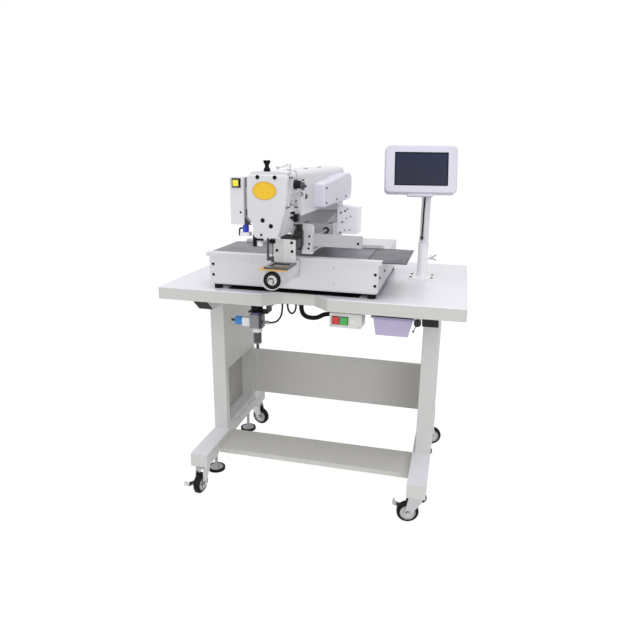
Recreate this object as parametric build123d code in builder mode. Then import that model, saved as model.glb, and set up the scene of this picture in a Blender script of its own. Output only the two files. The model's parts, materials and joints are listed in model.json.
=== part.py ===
"""A programmable lockstitch sewing machine with a cylinder bed, on its own stand.

Millimetres. +X is right, +Y is to the back and +Z is up, as the operator sees it. The floor is at zero.
"""
import os
from math import cos, hypot, radians, sin, tan

from build123d import *

os.makedirs("parts", exist_ok=True)

# Room shared by all pieces
overrun = 2.0  # how far a cut runs past the face that it opens
running_gap = 0.3  # between round faces that turn on each other
sliding_gap = 0.5  # between flat faces that slide past each other

# Tabletop, with a notch in front of the hook
table_width = 1000.0
table_depth = 710.0
table_thickness = 40.0
table_top = 770.0
table_y = 96.0
table_corner = 6.0
table_edge = 2.0
notch_x = -30.0
notch_mouth = 216.0
notch_floor = 108.0
notch_depth = 55.0
notch_round = 16.0

# Legs: top rail, upright and foot beam welded together on each side
leg_x = 392.0
leg_width = 54.0
leg_edge = 3.0
upright_front = -36.0
upright_depth = 320.0
upright_wall = 4.0
recess_margin = 28.0
recess_lift = 19.0
recess_height = 226.0
rail_height = 62.0
rail_front_reach = 163.0
rail_rear_reach = 120.0
rail_bevel = 74.0
rail_wall = 4.0
plug_depth = 3.0
plug_proud = 2.0
plug_margin = 1.5
foot_x = 388.0
foot_width = 63.5
foot_height = 50.0
foot_front_reach = 214.0
foot_rear_reach = 101.0
foot_block = 96.0
foot_rise = 20.0

# Sheets between the legs
sheet = 2.0
tray_front = -139.0
tray_depth = 155.0
tray_lift = 24.0
tray_lip = 18.0
rear_panel_width = 810.0
rear_panel_lift = 28.0
rear_panel_height = 197.0
rear_panel_flange = 14.0

# Casters
caster_height = 107.0
caster_inset = 35.0
caster_trail = 26.0
wheel_diameter = 75.0
wheel_width = 24.0
tyre_round = 6.0
rim_diameter = 52.0
rim_recess = 5.0
hub_diameter = 24.0
axle_diameter = 9.0
swivel_diameter = 46.0
swivel_height = 9.0
stem_diameter = 12.0
stem_length = 26.0
fork_sheet = 3.0
fork_side_gap = 2.0
cheek_radius = 13.0
cheek_root = 40.0
pedal_sheet = 3.0
pedal_width = 15.0
pedal_reach = 52.0
pedal_tab = 20.0
pedal_tilt = 20.0
corners = ("front_left", "front_right", "rear_left", "rear_right")
caster_headings = {"front_left": -95.0, "front_right": 190.0, "rear_left": -12.0, "rear_right": 15.0}

# Levelling feet
pad_diameter = 66.0
pad_height = 9.0
pad_lift = 16.0
pad_boss = 18.0
pad_boss_height = 10.0
levelling_stem = 12.0
levelling_grip = 20.0
lock_nut = 22.0
lock_nut_height = 9.0
levelling_front_y = -102.0
levelling_rear_y = 246.0

# Air unit under the table's front edge
air_x = -172.0
air_y = -204.0
air_bracket_sheet = 4.0
air_bracket_width = 46.0
air_bracket_reach = 44.0
regulator_drop = 33.0
regulator_height = 54.0
regulator_width = 42.0
regulator_round = 5.0
neck_diameter = 24.0
ring_nut_diameter = 36.0
ring_nut_height = 8.0
knob_diameter = 38.0
knob_height = 24.0
knob_lift = 2.0
port_drop = 36.0
outlet_diameter = 11.0
outlet_length = 18.0
valve_block = 28.0
coupling_diameter = 28.0
coupling_length = 26.0
nipple_diameter = 9.0
nipple_length = 16.0
inlet_bore = 6.0
bowl_diameter = 28.0
bowl_collar = 32.0
bowl_collar_height = 16.0
bowl_height = 62.0
drain_diameter = 10.0
drain_height = 14.0
drain_tube = 4.0
drain_tube_length = 100.0

# Switch box, with its buttons on the front
switch_x = 82.0
switch_width = 103.0
switch_front = -239.0
switch_depth = 70.0
switch_gap = 8.0
switch_height = 47.0
switch_round = 4.0
switch_flange = 12.0
button_width = 22.0
button_height = 24.0
button_length = 12.0
button_proud = 5.0
button_gap = 0.5
button_travel = 3.0
button_pitch = 27.5
first_button = 20.0
lamp_diameter = 16.0
lamp_proud = 2.0

# Drawer on two runners, and the knob that locks it
drawer_x = 280.0
drawer_width = 120.0
drawer_taper = 10.0
drawer_front = -239.0
drawer_length = 230.0
drawer_gap = 10.0
drawer_height = 58.0
drawer_wall = 2.5
drawer_rim = 5.0
drawer_rim_height = 3.0
runner_sheet = 3.0
runner_foot = 4.0
runner_flange = 10.0
lock_knob_x = 357.0
lock_knob_drop = 20.0
lock_knob_diameter = 21.0
lock_knob_length = 13.0
lock_stud = 8.0
lock_lug = 20.0
lock_lever = 4.0
lock_lever_length = 29.0
lock_lever_lean = 23.0
lock_lever_end = 7.0

# Operating panel on its post
post_x = 337.0
post_y = 155.0
post_plate_width = 92.0
post_plate_depth = 70.0
post_plate_height = 5.0
socket_diameter = 36.0
socket_wall = 2.5
socket_height = 125.0
socket_collar = 6.0
post_diameter = 32.0
post_lift = 20.0
post_show = 165.0
cable_clip_shift = -6.0
cable_clip_width = 10.0
cable_clip_lift = 17.0
cable_clip_height = 10.0
wing_lift = 76.0
wing_boss = 16.0
wing_boss_length = 8.0
wing_screw = 8.0
wing_head = 14.0
wing_span = 26.0
wing_reach = 20.0
wing_thickness = 4.0
bracket_cap = 46.0
bracket_cap_height = 14.0
bracket_neck = 22.0
bracket_depth = 16.0
bracket_eye = 20.0
panel_shift = -30.5
panel_turned = 12.0
panel_width = 245.0
panel_height = 162.0
panel_thickness = 34.0
panel_corner = 16.0
panel_edge = 5.0
panel_tilt = 15.0
tilt_lift = 34.4
tilt_pin = 8.0
tilt_lug = 14.0
tilt_lug_width = 12.0
tilt_below_middle = 47.0
tilt_behind_panel = 26.0
screen_width = 177.0
screen_height = 108.0
screen_raise = 1.0
screen_depth = 2.0
chin_width = 100.0
chin_height = 9.0
chin_thickness = 22.0
panel_cable_diameter = 5.0

# Sewing machine: bed, base and covers
machine_x = -48.0
base_width = 546.0
base_front = -222.0
base_rear = 296.0
base_height = 98.0
base_wall = 34.0
base_ceiling = 14.0
rubber_foot = 28.0
rubber_foot_height = 16.0
rubber_foot_inset = 17.0
cover_sheet = 4.0
cover_return = 185.0
cover_lift = 5.0
lip_depth = 24.0
lip_sheet = 2.5
lip_overhang = 14.0
lip_band = 12.0
bed_front = -424.0
bed_width = 56.0
bed_height = 57.0
bed_gap = 1.0
bed_round_share = 0.45
slide_sheet = 3.0
slide_width = 647.0
slide_depth = 266.0
slide_seam = 1.0
slide_wing = 125.0
carriage_shift = 19.0

# Hook and throat plate
hook_shift = 4.0
hook_drop = 27.0
hook_diameter = 39.4
hook_depth = 16.0
hook_cavity = 46.0
hook_cavity_depth = 34.0
hook_ring_outer = 50.0
hook_ring_depth = 6.0
hook_rim = 3.0
hook_cup_depth = 10.0
hook_shaft = 8.0
hook_shaft_length = 30.0
bobbin_diameter = 26.0
bobbin_latch = 7.0
throat_width = 80.0
throat_depth = 54.0
throat_thickness = 5.5
throat_corner = 4.0
needle_hole = 4.0
needle_window = 10.0

# Arm, head and covers
arm_width = 112.0
arm_clearance = 144.0
arm_height = 126.0
arm_front = -435.0
arm_rear = 296.0
arm_round = 16.0
arch_round = 42.0
column_front = 211.0
column_spread = 66.0
column_shoulder = 24.0
head_rear = -309.0
face_width = 116.0
face_drop = 50.0
face_step = 8.0
face_depth = 16.0
face_corner = 9.0
face_edge = 4.0
face_inset = 2.0
foot_left_share = 0.70
foot_right_share = 0.48
left_step_shares = (0.24, 0.33)
right_shoulder_share = 0.46
right_shoulder_reach_share = 0.87
left_step_reach_share = 0.76
shaft_rise = 60.0
main_shaft = 14.0
main_shaft_length = 60.0
pulley_diameter = 104.0
pulley_width = 30.0
pulley_rim = 9.0
pulley_web = 10.0
pulley_hub = 30.0
motor_front = -154.0
motor_rear = 295.0
motor_rise = 8.0
motor_nose_height = 78.0
motor_height = 98.0
motor_depth = 34.0
motor_round = 9.0
motor_end_round = 40.0
motor_rise_share = 0.75
valve_front = 196.0
valve_depth = 72.0
valve_width = 80.0
valve_lift = 27.0
valve_height = 101.0
valve_round = 4.0
side_box_gap = 15.0
side_box_width = 40.0
side_box_front = -439.0
side_box_depth = 60.0
side_box_drop = 17.0
side_box_height = 127.0
side_box_round = 3.0
side_arm_depth = 26.0
side_arm_height = 60.0
side_arm_rise = 24.0
halt_size = 20.0
halt_bezel = 25.0
halt_bezel_proud = 2.0
halt_drop = 15.0
wiper_width = 26.0
wiper_height = 10.0
wiper_drop = 21.0
wiper_depth = 24.0
wiper_fitting = 16.0
guard_reach = 20.0
guard_height = 22.0
guard_sheet = 4.0

# Needle, presser, take-up and tension
needle_y = -409.0
needle_bar = 8.0
needle_bar_length = 150.0
needle_bar_show = 18.0
needle_collar = 13.0
needle_collar_height = 14.0
needle_diameter = 2.0
needle_length = 54.0
presser_shift_x = -9.0
presser_shift_y = -13.0
presser_bar = 7.0
presser_bar_drop = 20.0
presser_rest = 22.0
presser_ring = 9.0
presser_ring_hole = 4.4
presser_ring_height = 16.0
presser_arm = 6.0
presser_arm_height = 10.0
presser_knob_diameter = 18.0
presser_knob_waist = 11.0
presser_knob_height = 29.0
presser_knob_cap = 6.0
presser_stud = 6.0
presser_stud_length = 8.0
takeup_y = -330.0
takeup_lift = 34.0
takeup_reach = 62.0
takeup_rise = 16.0
takeup_sheet = 3.0
takeup_width = 9.0
takeup_hub = 16.0
takeup_eye = 3.0
takeup_pin = 6.0
takeup_pin_length = 14.0
takeup_recess_depth = 14.0
takeup_recess_length = 96.0
takeup_recess_height = 66.0
takeup_recess_lead = 14.0
tension_y = -382.0
tension_drop = 34.0
tension_disc = 27.0
tension_knob_diameter = 20.0
tension_disc_depth = 6.0
tension_knob_depth = 15.0
tension_stud = 6.0
tension_stud_length = 14.0

# X-y feed and work clamp
beam_y = 64.0
beam_depth = 28.0
beam_height = 12.0
beam_width = 504.0
beam_shift = 0.0
carriage_width = 120.0
carriage_front = 24.0
carriage_depth = 62.0
carriage_crown = 21.0
carriage_foot = 4.0
rod_diameter = 12.0
rod_pitch = 70.0
rod_lift = 61.0
rod_rear = 136.0
bush_diameter = 22.0
bush_length = 6.0
cross_bar_front = -129.0
cross_bar_depth = 20.0
cross_bar_lift = 22.0
cross_bar_height = 41.0
cross_bar_left = 45.0
feed_arm_front = -250.0
feed_arm_depth = 25.0
feed_arm_width = 32.0
feed_arm_shift = 39.0
feed_arm_lift = 22.0
feed_arm_height = 84.0
feed_bar_inset = 4.0
feed_bar_depth = 16.0
feed_bar_lift = 46.0
feed_bar_height = 36.0
feed_bar_right = 207.0
feed_web_height = 17.0
feed_tube = 10.0
clamp_rail_width = 16.0
clamp_rail_depth = 12.0
clamp_rail_lift = 36.0
clamp_rail_height = 76.0
clamp_rail_shift = 17.0
air_cylinder = 20.0
air_cylinder_height = 28.0
air_cylinder_shift = 22.0
cylinder_mount_reach = 63.0
cylinder_mount_lift = 28.0
cylinder_mount_height = 15.0
slider_depth = 10.0
slider_width = 26.0
slider_lift = 48.0
slider_height = 46.0
clamp_arm_height = 26.0
clamp_arm_width = 22.0
clamp_plate_width = 64.0
clamp_plate_front = -363.0
clamp_plate_depth = 4.0
clamp_plate_rise = 79.0
clamp_plate_bend = 8.0
clamp_foot_lift = 7.0
clamp_foot_height = 6.0
clamp_foot_reach = 82.0
clamp_window_width = 50.0
clamp_window_depth = 58.0
clamp_foot_rim = 10.0

# Cords: grommets in the table's underside, and points chosen by hand. Heights are from the table's
# underside, and the panel cable's points are from the top of the post's socket.
grommet_rim = 2.5
grommet_grip = 12.0
hose_diameter = 6.0
conduit_diameter = 15.0
conduit_points = (
    (-25, -186, -6),
    (-25, -186, -27),
    (-9, -186, -45),
    (28, -186, -46),
    (56, -186, -27),
    (82, -186, -27),
)
hose_points = ((-133, -204, -69), (-114, -204, -69), (-97, -196, -57), (-90, -186, -35), (-90, -186, -6))
loop_points = ((-72, -186, -6), (-72, -186, -24), (-58, -186, -40), (-43, -186, -24), (-43, -186, -6))
panel_cable_points = ((-4, -19, 165), (-5.5, -20, 120), (-5, -20, 70), (-6, -19, 27.3))
cord_bend_share = 0.45  # how much of a run's length the bend at its end may take up

# Places worked out from the sizes above
table_under = table_top - table_thickness
table_front = table_y - table_depth / 2
upright_rear = upright_front + upright_depth
rail_front = upright_front - rail_front_reach
rail_rear = upright_rear + rail_rear_reach
rail_under = table_under - rail_height
foot_front = upright_front - foot_front_reach
foot_rear = upright_rear + foot_rear_reach
foot_under = caster_height
foot_top = foot_under + foot_height
foot_waist = foot_under + foot_rise
recess_bottom = foot_top + recess_lift
tray_top = foot_under + tray_lift
rear_panel_bottom = foot_top + rear_panel_lift
regulator_top = table_under - regulator_drop
port_height = regulator_top - port_drop
switch_top = table_under - switch_gap
drawer_top = table_under - drawer_gap
lock_knob_z = table_under - lock_knob_drop
socket_top = table_top + socket_height
post_bottom = table_top + post_lift
post_top = socket_top + post_show
wing_height = table_top + wing_lift
tilt_y = post_y
tilt_z = post_top + tilt_lift
base_bottom = table_top + rubber_foot_height
base_top = base_bottom + base_height
cover_bottom = base_bottom + cover_lift
hook_z = base_top - hook_drop
arm_under = base_top + arm_clearance
arm_top = arm_under + arm_height
face_bottom = arm_under - face_drop
face_top = arm_top - face_step
shaft_z = arm_under + shaft_rise
motor_bottom = arm_under + motor_rise
valve_bottom = base_top + valve_lift
side_box_bottom = arm_under - side_box_drop
side_arm_bottom = arm_under + side_arm_rise
needle_bar_bottom = face_bottom - needle_bar_show
presser_bottom = base_top + presser_rest
takeup_z = arm_under + takeup_lift
tension_z = arm_top - tension_drop
rod_z = base_top + rod_lift
carriage_top = rod_z + carriage_crown
feed_bar_bottom = base_top + feed_bar_lift
cross_bar_bottom = base_top + cross_bar_lift
feed_arm_bottom = base_top + feed_arm_lift
clamp_rail_bottom = base_top + clamp_rail_lift
slider_bottom = base_top + slider_lift
clamp_plate_top = base_top + clamp_plate_rise
clamp_foot_bottom = base_top + clamp_foot_lift
wheel_radius = wheel_diameter / 2
caster_places = {
    "front_left": (-foot_x, foot_front + caster_inset),
    "front_right": (foot_x, foot_front + caster_inset),
    "rear_left": (-foot_x, foot_rear - caster_inset),
    "rear_right": (foot_x, foot_rear - caster_inset),
}
levelling_places = [(side * foot_x, y) for side in (-1, 1) for y in (levelling_front_y, levelling_rear_y)]
conduit_route = [(x, y, table_under + rise) for x, y, rise in conduit_points]
hose_route = [(x, y, table_under + rise) for x, y, rise in hose_points]
loop_route = [(x, y, table_under + rise) for x, y, rise in loop_points]
panel_cable_route = [(post_x + x, post_y + y, socket_top + rise) for x, y, rise in panel_cable_points]
grommet_places = [
    (conduit_route[0], conduit_diameter),
    (hose_route[-1], hose_diameter),
    (loop_route[0], hose_diameter),
    (loop_route[-1], hose_diameter),
]
arm_left = machine_x - arm_width / 2
arm_right = machine_x + arm_width / 2
hook_x = machine_x + hook_shift
presser_x = machine_x + presser_shift_x
presser_y = needle_y + presser_shift_y
carriage_x = machine_x + carriage_shift
slide_bottom = base_top
slide_top = slide_bottom + slide_sheet


def save(builder, label, turn=0):
    """Labels a finished piece, turned about the panel's post, and writes it to a file of its own."""
    piece = builder.part.rotate(Axis((post_x, post_y, 0), (0, 0, 1)), turn) if turn else builder.part
    piece.label = label
    export_step(piece, f"parts/{label}.step")


def block(x_span, y_span, z_span, mode=Mode.ADD):
    """Adds or cuts a block that fills three spans."""
    spans = [sorted(span) for span in (x_span, y_span, z_span)]
    with Locations(tuple(sum(span) / 2 for span in spans)):
        Box(*(high - low for low, high in spans), mode=mode)


def bar(start, direction, length, diameter, mode=Mode.ADD):
    """Adds or cuts a round bar that runs from a point along a direction."""
    with Locations(Plane(origin=start, z_dir=direction)):
        Cylinder(diameter / 2, length, align=(Align.CENTER, Align.CENTER, Align.MIN), mode=mode)


def prism(plane, points, amount, both=False, corner=0.0, mode=Mode.ADD):
    """Adds or cuts a polygon with rounded corners, pushed out from a plane."""
    with BuildSketch(plane) as outline:
        with BuildLine():
            Polyline(*points, close=True)
        make_face()
        if corner:
            fillet(outline.vertices(), corner)
    extrude(outline.sketch, amount=amount, both=both, mode=mode)


def turned(origin, direction, profile, mode=Mode.ADD):
    """Adds or cuts a turned form, given as pairs of radius and distance along its axis."""
    axis = Axis(origin, direction)
    radial = Plane(origin=origin, z_dir=direction).x_dir
    with BuildSketch(Plane(origin=origin, x_dir=radial, z_dir=radial.cross(axis.direction))) as outline:
        with BuildLine():
            Polyline(*profile, close=True)
        make_face()
    revolve(outline.sketch, axis=axis, mode=mode)


def around(middle, size):
    """Gives the span of a size about its middle."""
    return middle - size / 2, middle + size / 2


def corner_radii(route):
    """Gives each corner of a cord's route the largest arc that its two runs leave room for."""
    radii = []
    for before, corner, after in zip(route, route[1:], route[2:]):
        run_in = Vector(*corner) - Vector(*before)
        run_out = Vector(*after) - Vector(*corner)
        half_turn = radians(run_in.get_angle(run_out)) / 2
        radii.append(cord_bend_share * min(run_in.length, run_out.length) / tan(half_turn))
    return radii


# Tabletop
with BuildPart() as tabletop:
    with BuildSketch(Plane.XY.offset(table_under)) as table_outline:
        with Locations((0, table_y)):
            RectangleRounded(table_width, table_depth, table_corner)
        with BuildLine():
            Polyline(
                (notch_x - notch_mouth / 2, table_front - overrun),
                (notch_x - notch_mouth / 2, table_front),
                (notch_x - notch_floor / 2, table_front + notch_depth),
                (notch_x + notch_floor / 2, table_front + notch_depth),
                (notch_x + notch_mouth / 2, table_front),
                (notch_x + notch_mouth / 2, table_front - overrun),
                close=True,
            )
        make_face(mode=Mode.SUBTRACT)
        notch_corners = table_outline.vertices().filter_by(
            lambda corner: abs(corner.X - notch_x) < notch_mouth / 2 + table_corner
        )
        fillet(notch_corners, notch_round)
    extrude(amount=table_thickness)
    chamfer(tabletop.faces().sort_by(Axis.Z)[-1].edges(), table_edge)
    for (x, y, z), cord in grommet_places:
        hole = cord + 2 * running_gap
        bar((x, y, table_under), (0, 0, 1), grommet_grip + running_gap, hole, Mode.SUBTRACT)
save(tabletop, "tabletop")

# Rail ends: a plane on each bevelled end, facing out
rail_end_slope = hypot(rail_bevel, rail_height)


def rail_end_plane(side, front):
    """Gives the plane of a rail's bevelled end, its front or its rear one."""
    outward = -1 if front else 1
    end_y = rail_front if front else rail_rear
    middle = (side * leg_x, end_y - outward * rail_bevel / 2, (table_under + rail_under) / 2)
    return Plane(origin=middle, x_dir=(1, 0, 0), z_dir=(0, outward * rail_height, -rail_bevel))


def rail_end_plug(plane, margin, low, high, mode=Mode.ADD):
    """Adds or cuts a plate on a rail's end, a margin in from its edges, between two heights."""
    with BuildSketch(plane.offset(low)) as outline:
        Rectangle(leg_width - 2 * margin, rail_end_slope - 2 * margin)
    extrude(outline.sketch, amount=high - low, mode=mode)


# Legs
for side, name in ((-1, "left_leg"), (1, "right_leg")):
    with BuildPart() as leg:
        block(around(side * leg_x, leg_width), (upright_front, upright_rear), (foot_top, rail_under))
        fillet(leg.edges().filter_by(Axis.Z), leg_edge)
        prism(
            Plane.YZ.offset(side * leg_x),
            (
                (rail_front, table_under),
                (rail_rear, table_under),
                (rail_rear - rail_bevel, rail_under),
                (rail_front + rail_bevel, rail_under),
            ),
            leg_width / 2,
            both=True,
        )
        prism(
            Plane.YZ.offset(side * foot_x),
            (
                (foot_front, foot_under),
                (foot_front + foot_block, foot_under),
                (foot_front + foot_block + foot_rise, foot_waist),
                (foot_rear - foot_block - foot_rise, foot_waist),
                (foot_rear - foot_block, foot_under),
                (foot_rear, foot_under),
                (foot_rear, foot_top),
                (foot_front, foot_top),
            ),
            foot_width / 2,
            both=True,
        )
        inner_face = side * (leg_x - leg_width / 2 - overrun)
        outer_wall = side * (leg_x + leg_width / 2 - upright_wall)
        block(
            (inner_face, outer_wall),
            (upright_front + recess_margin, upright_rear - recess_margin),
            (recess_bottom, recess_bottom + recess_height),
            Mode.SUBTRACT,
        )
        for front in (True, False):
            rail_end_plug(rail_end_plane(side, front), rail_wall, -plug_depth, overrun, Mode.SUBTRACT)
        for corner, (x, y) in caster_places.items():
            if x * side > 0:
                hole = stem_diameter + 2 * running_gap
                bar((x, y, foot_under), (0, 0, 1), stem_length + running_gap, hole, Mode.SUBTRACT)
        for x, y in levelling_places:
            if x * side > 0:
                hole = levelling_stem + 2 * running_gap
                bar((x, y, foot_waist), (0, 0, 1), levelling_grip + running_gap, hole, Mode.SUBTRACT)
    save(leg, name)

with BuildPart() as rail_end_plugs:
    for side in (-1, 1):
        for front in (True, False):
            rail_end_plug(rail_end_plane(side, front), rail_wall, -plug_depth, plug_proud)
            rail_end_plug(rail_end_plane(side, front), plug_margin, 0, plug_proud)
save(rail_end_plugs, "rail_end_plugs")

# Lower tray, folded down at its front and rear
tray_half = foot_x - foot_width / 2
tray_rear = tray_front + tray_depth
with BuildPart() as lower_tray:
    block((-tray_half, tray_half), (tray_front, tray_rear), (tray_top - sheet, tray_top))
    for edge_y in (tray_front, tray_rear - sheet):
        block((-tray_half, tray_half), (edge_y, edge_y + sheet), (tray_top - tray_lip, tray_top))
save(lower_tray, "lower_tray")

# Rear panel, folded to the back along its top and bottom
rear_panel_top = rear_panel_bottom + rear_panel_height
with BuildPart() as rear_panel:
    panel_span = around(0, rear_panel_width)
    block(panel_span, (upright_rear, upright_rear + sheet), (rear_panel_bottom, rear_panel_top))
    for edge_z in (rear_panel_bottom, rear_panel_top - sheet):
        block(panel_span, (upright_rear, upright_rear + rear_panel_flange), (edge_z, edge_z + sheet))
save(rear_panel, "rear_panel")

# Caster, modelled about its swivel axis with the wheel trailing to +X, then placed at each corner
swivel_top = foot_under - running_gap
swivel_bottom = swivel_top - swivel_height
cheek_inside = wheel_width / 2 + fork_side_gap
cheek_outside = cheek_inside + fork_sheet
axle_middle = (caster_trail, 0, wheel_radius)
pedal_inside = cheek_outside + running_gap
with BuildPart() as fork:
    turned(
        (0, 0, swivel_bottom),
        (0, 0, 1),
        (
            (0, 0),
            (swivel_diameter / 2, 0),
            (swivel_diameter / 2, swivel_height),
            (stem_diameter / 2, swivel_height),
            (stem_diameter / 2, swivel_height + stem_length),
            (0, swivel_height + stem_length),
        ),
    )
    bridge_end = caster_trail
    bridge_z = (swivel_bottom - fork_sheet, swivel_bottom)
    block((-cheek_root / 2, bridge_end), around(0, 2 * cheek_outside), bridge_z)
    for cheek_side in (-1, 1):
        with BuildSketch(Plane.XZ.offset(cheek_side * (cheek_inside + fork_sheet / 2))) as cheek:
            with BuildLine():
                Polyline(
                    (-cheek_root / 2, swivel_bottom),
                    (bridge_end, swivel_bottom),
                    (caster_trail + cheek_radius, wheel_radius),
                    (caster_trail - cheek_radius, wheel_radius),
                    (-cheek_root / 2, swivel_bottom - cheek_radius),
                    close=True,
                )
            make_face()
            with Locations((caster_trail, wheel_radius)):
                Circle(cheek_radius)
        extrude(cheek.sketch, amount=fork_sheet / 2, both=True)
    axle_half = cheek_outside + pedal_sheet + 2 * running_gap
    bar((caster_trail, -axle_half, wheel_radius), (0, 1, 0), 2 * axle_half, axle_diameter)

with BuildPart() as wheel:
    half = wheel_width / 2
    turned(
        axle_middle,
        (0, 1, 0),
        (
            (axle_diameter / 2 + running_gap, -half),
            (hub_diameter / 2, -half),
            (hub_diameter / 2, rim_recess - half),
            (rim_diameter / 2, rim_recess - half),
            (rim_diameter / 2, -half),
            (wheel_radius - tyre_round, -half),
            (wheel_radius, tyre_round - half),
            (wheel_radius, half - tyre_round),
            (wheel_radius - tyre_round, half),
            (rim_diameter / 2, half),
            (rim_diameter / 2, half - rim_recess),
            (hub_diameter / 2, half - rim_recess),
            (hub_diameter / 2, half),
            (axle_diameter / 2 + running_gap, half),
        ),
    )

with BuildPart() as pedal:
    lever_dir = (cos(radians(pedal_tilt)), 0, sin(radians(pedal_tilt)))
    lever_origin = (caster_trail, -pedal_inside, wheel_radius)
    lever_plane = Plane(origin=lever_origin, x_dir=lever_dir, z_dir=(0, -1, 0))
    with BuildSketch(lever_plane) as lever:
        Circle(pedal_width / 2)
        with Locations((pedal_reach / 2, 0)):
            Rectangle(pedal_reach, pedal_width)
        Circle(axle_diameter / 2 + running_gap, mode=Mode.SUBTRACT)
    extrude(lever.sketch, amount=pedal_sheet)
    with BuildSketch(lever_plane) as tab:
        with Locations((pedal_reach - pedal_sheet / 2, 0)):
            Rectangle(pedal_sheet, pedal_width)
    extrude(tab.sketch, amount=pedal_tab)

for corner in corners:
    pieces = {"caster_fork": fork, "caster_wheel": wheel}
    if corner.startswith("front"):
        pieces["brake_pedal"] = pedal
    for name, master in pieces.items():
        with BuildPart() as placed:
            with Locations(Location((*caster_places[corner], 0), (0, 0, caster_headings[corner]))):
                add(master.part)
        save(placed, f"{name}_{corner}")

# Levelling feet, held by lock nuts
with BuildPart() as levelling_feet:
    for x, y in levelling_places:
        stem_top = foot_waist + levelling_grip - pad_lift
        turned(
            (x, y, pad_lift),
            (0, 0, 1),
            (
                (0, 0),
                (pad_diameter / 2, 0),
                (pad_diameter / 2, pad_height),
                (pad_boss / 2, pad_height),
                (levelling_stem / 2, pad_height + pad_boss_height),
                (levelling_stem / 2, stem_top),
                (0, stem_top),
            ),
        )
        with BuildSketch(Plane.XY.offset(foot_waist - lock_nut_height)) as nut:
            with Locations((x, y)):
                RegularPolygon(lock_nut / 2, 6)
        extrude(nut.sketch, amount=lock_nut_height)
save(levelling_feet, "levelling_feet")

# Air unit: bracket, regulator with its inlet fittings, knob and filter bowl
bracket_top = regulator_top + air_bracket_sheet
web_x = air_x + air_bracket_reach - air_bracket_sheet
with BuildPart() as air_bracket:
    bracket_y = around(air_y, air_bracket_width)
    block((air_x - air_bracket_width / 2, web_x), bracket_y, (regulator_top, bracket_top))
    block((web_x, web_x + air_bracket_sheet), bracket_y, (regulator_top, table_under))
    block(
        (web_x, web_x + air_bracket_reach / 2),
        bracket_y,
        (table_under - air_bracket_sheet, table_under),
    )
    neck_hole = neck_diameter + 2 * running_gap
    neck_cut = air_bracket_sheet + 2 * overrun
    bar((air_x, air_y, regulator_top - overrun), (0, 0, 1), neck_cut, neck_hole, Mode.SUBTRACT)
save(air_bracket, "air_bracket")

knob_bottom = bracket_top + knob_lift
regulator_bottom = regulator_top - regulator_height
body_top = regulator_top - ring_nut_height
spindle = neck_diameter / 2
with BuildPart() as regulator_body:
    block(around(air_x, regulator_width), around(air_y, regulator_width), (regulator_bottom, body_top))
    fillet(regulator_body.edges().filter_by(Axis.Z), regulator_round)
    bar((air_x, air_y, body_top), (0, 0, 1), ring_nut_height, ring_nut_diameter)
    bar((air_x, air_y, regulator_top), (0, 0, 1), knob_bottom - running_gap - regulator_top, neck_diameter)
    bar((air_x, air_y, regulator_top), (0, 0, 1), knob_bottom + knob_height / 2 - regulator_top, spindle)
    body_left = air_x - regulator_width / 2
    block(
        (body_left - valve_block, body_left + overrun),
        around(air_y, valve_block),
        around(port_height, valve_block),
    )
    coupling_start = body_left - valve_block
    turned(
        (coupling_start, air_y, port_height),
        (-1, 0, 0),
        (
            (inlet_bore / 2, -overrun),
            (nipple_diameter / 2, -overrun),
            (nipple_diameter / 2, 0),
            (coupling_diameter / 2, 0),
            (coupling_diameter / 2, coupling_length),
            (nipple_diameter / 2, coupling_length),
            (nipple_diameter / 2, coupling_length + nipple_length),
            (inlet_bore / 2, coupling_length + nipple_length),
        ),
    )
    bar((air_x, air_y, port_height), (1, 0, 0), regulator_width / 2 + outlet_length, outlet_diameter)
save(regulator_body, "regulator_body")

with BuildPart() as regulator_knob:
    bar((air_x, air_y, knob_bottom), (0, 0, 1), knob_height, knob_diameter)
    fillet(regulator_knob.faces().sort_by(Axis.Z)[-1].edges(), knob_lift)
    bore = spindle + 2 * running_gap
    bar((air_x, air_y, knob_bottom), (0, 0, 1), knob_height / 2 + running_gap, bore, Mode.SUBTRACT)
save(regulator_knob, "regulator_knob")

with BuildPart() as filter_bowl:
    turned(
        (air_x, air_y, regulator_bottom),
        (0, 0, -1),
        (
            (0, 0),
            (bowl_collar / 2, 0),
            (bowl_collar / 2, bowl_collar_height),
            (bowl_diameter / 2, bowl_collar_height),
            (bowl_diameter / 2, bowl_height - drain_height / 2),
            (drain_diameter / 2, bowl_height),
            (drain_diameter / 2, bowl_height + drain_height),
            (drain_tube / 2, bowl_height + drain_height),
            (drain_tube / 2, bowl_height + drain_height + drain_tube_length),
            (0, bowl_height + drain_height + drain_tube_length),
        ),
    )
save(filter_bowl, "filter_bowl")

# Cords, as plain tubes along their routes, and the grommets that they leave the table by
cords = (
    ("cable_conduit", conduit_route, conduit_diameter),
    ("air_hose", hose_route, hose_diameter),
    ("hose_loop", loop_route, hose_diameter),
    ("panel_cable", panel_cable_route, panel_cable_diameter),
)
for name, route, diameter in cords:
    with BuildPart() as cord:
        with BuildLine() as path:
            FilletPolyline(*route, radius=corner_radii(route))
        with BuildSketch(Plane(origin=path.line @ 0, z_dir=path.line % 0)):
            Circle(diameter / 2)
        sweep()
    save(cord, name)

with BuildPart() as cable_grommets:
    for (x, y, z), diameter in grommet_places:
        bar((x, y, z), (0, 0, 1), table_under - z, diameter + 2 * grommet_rim)
        bar((x, y, z), (0, 0, 1), table_under - z + grommet_grip, diameter)
save(cable_grommets, "cable_grommets")

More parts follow.
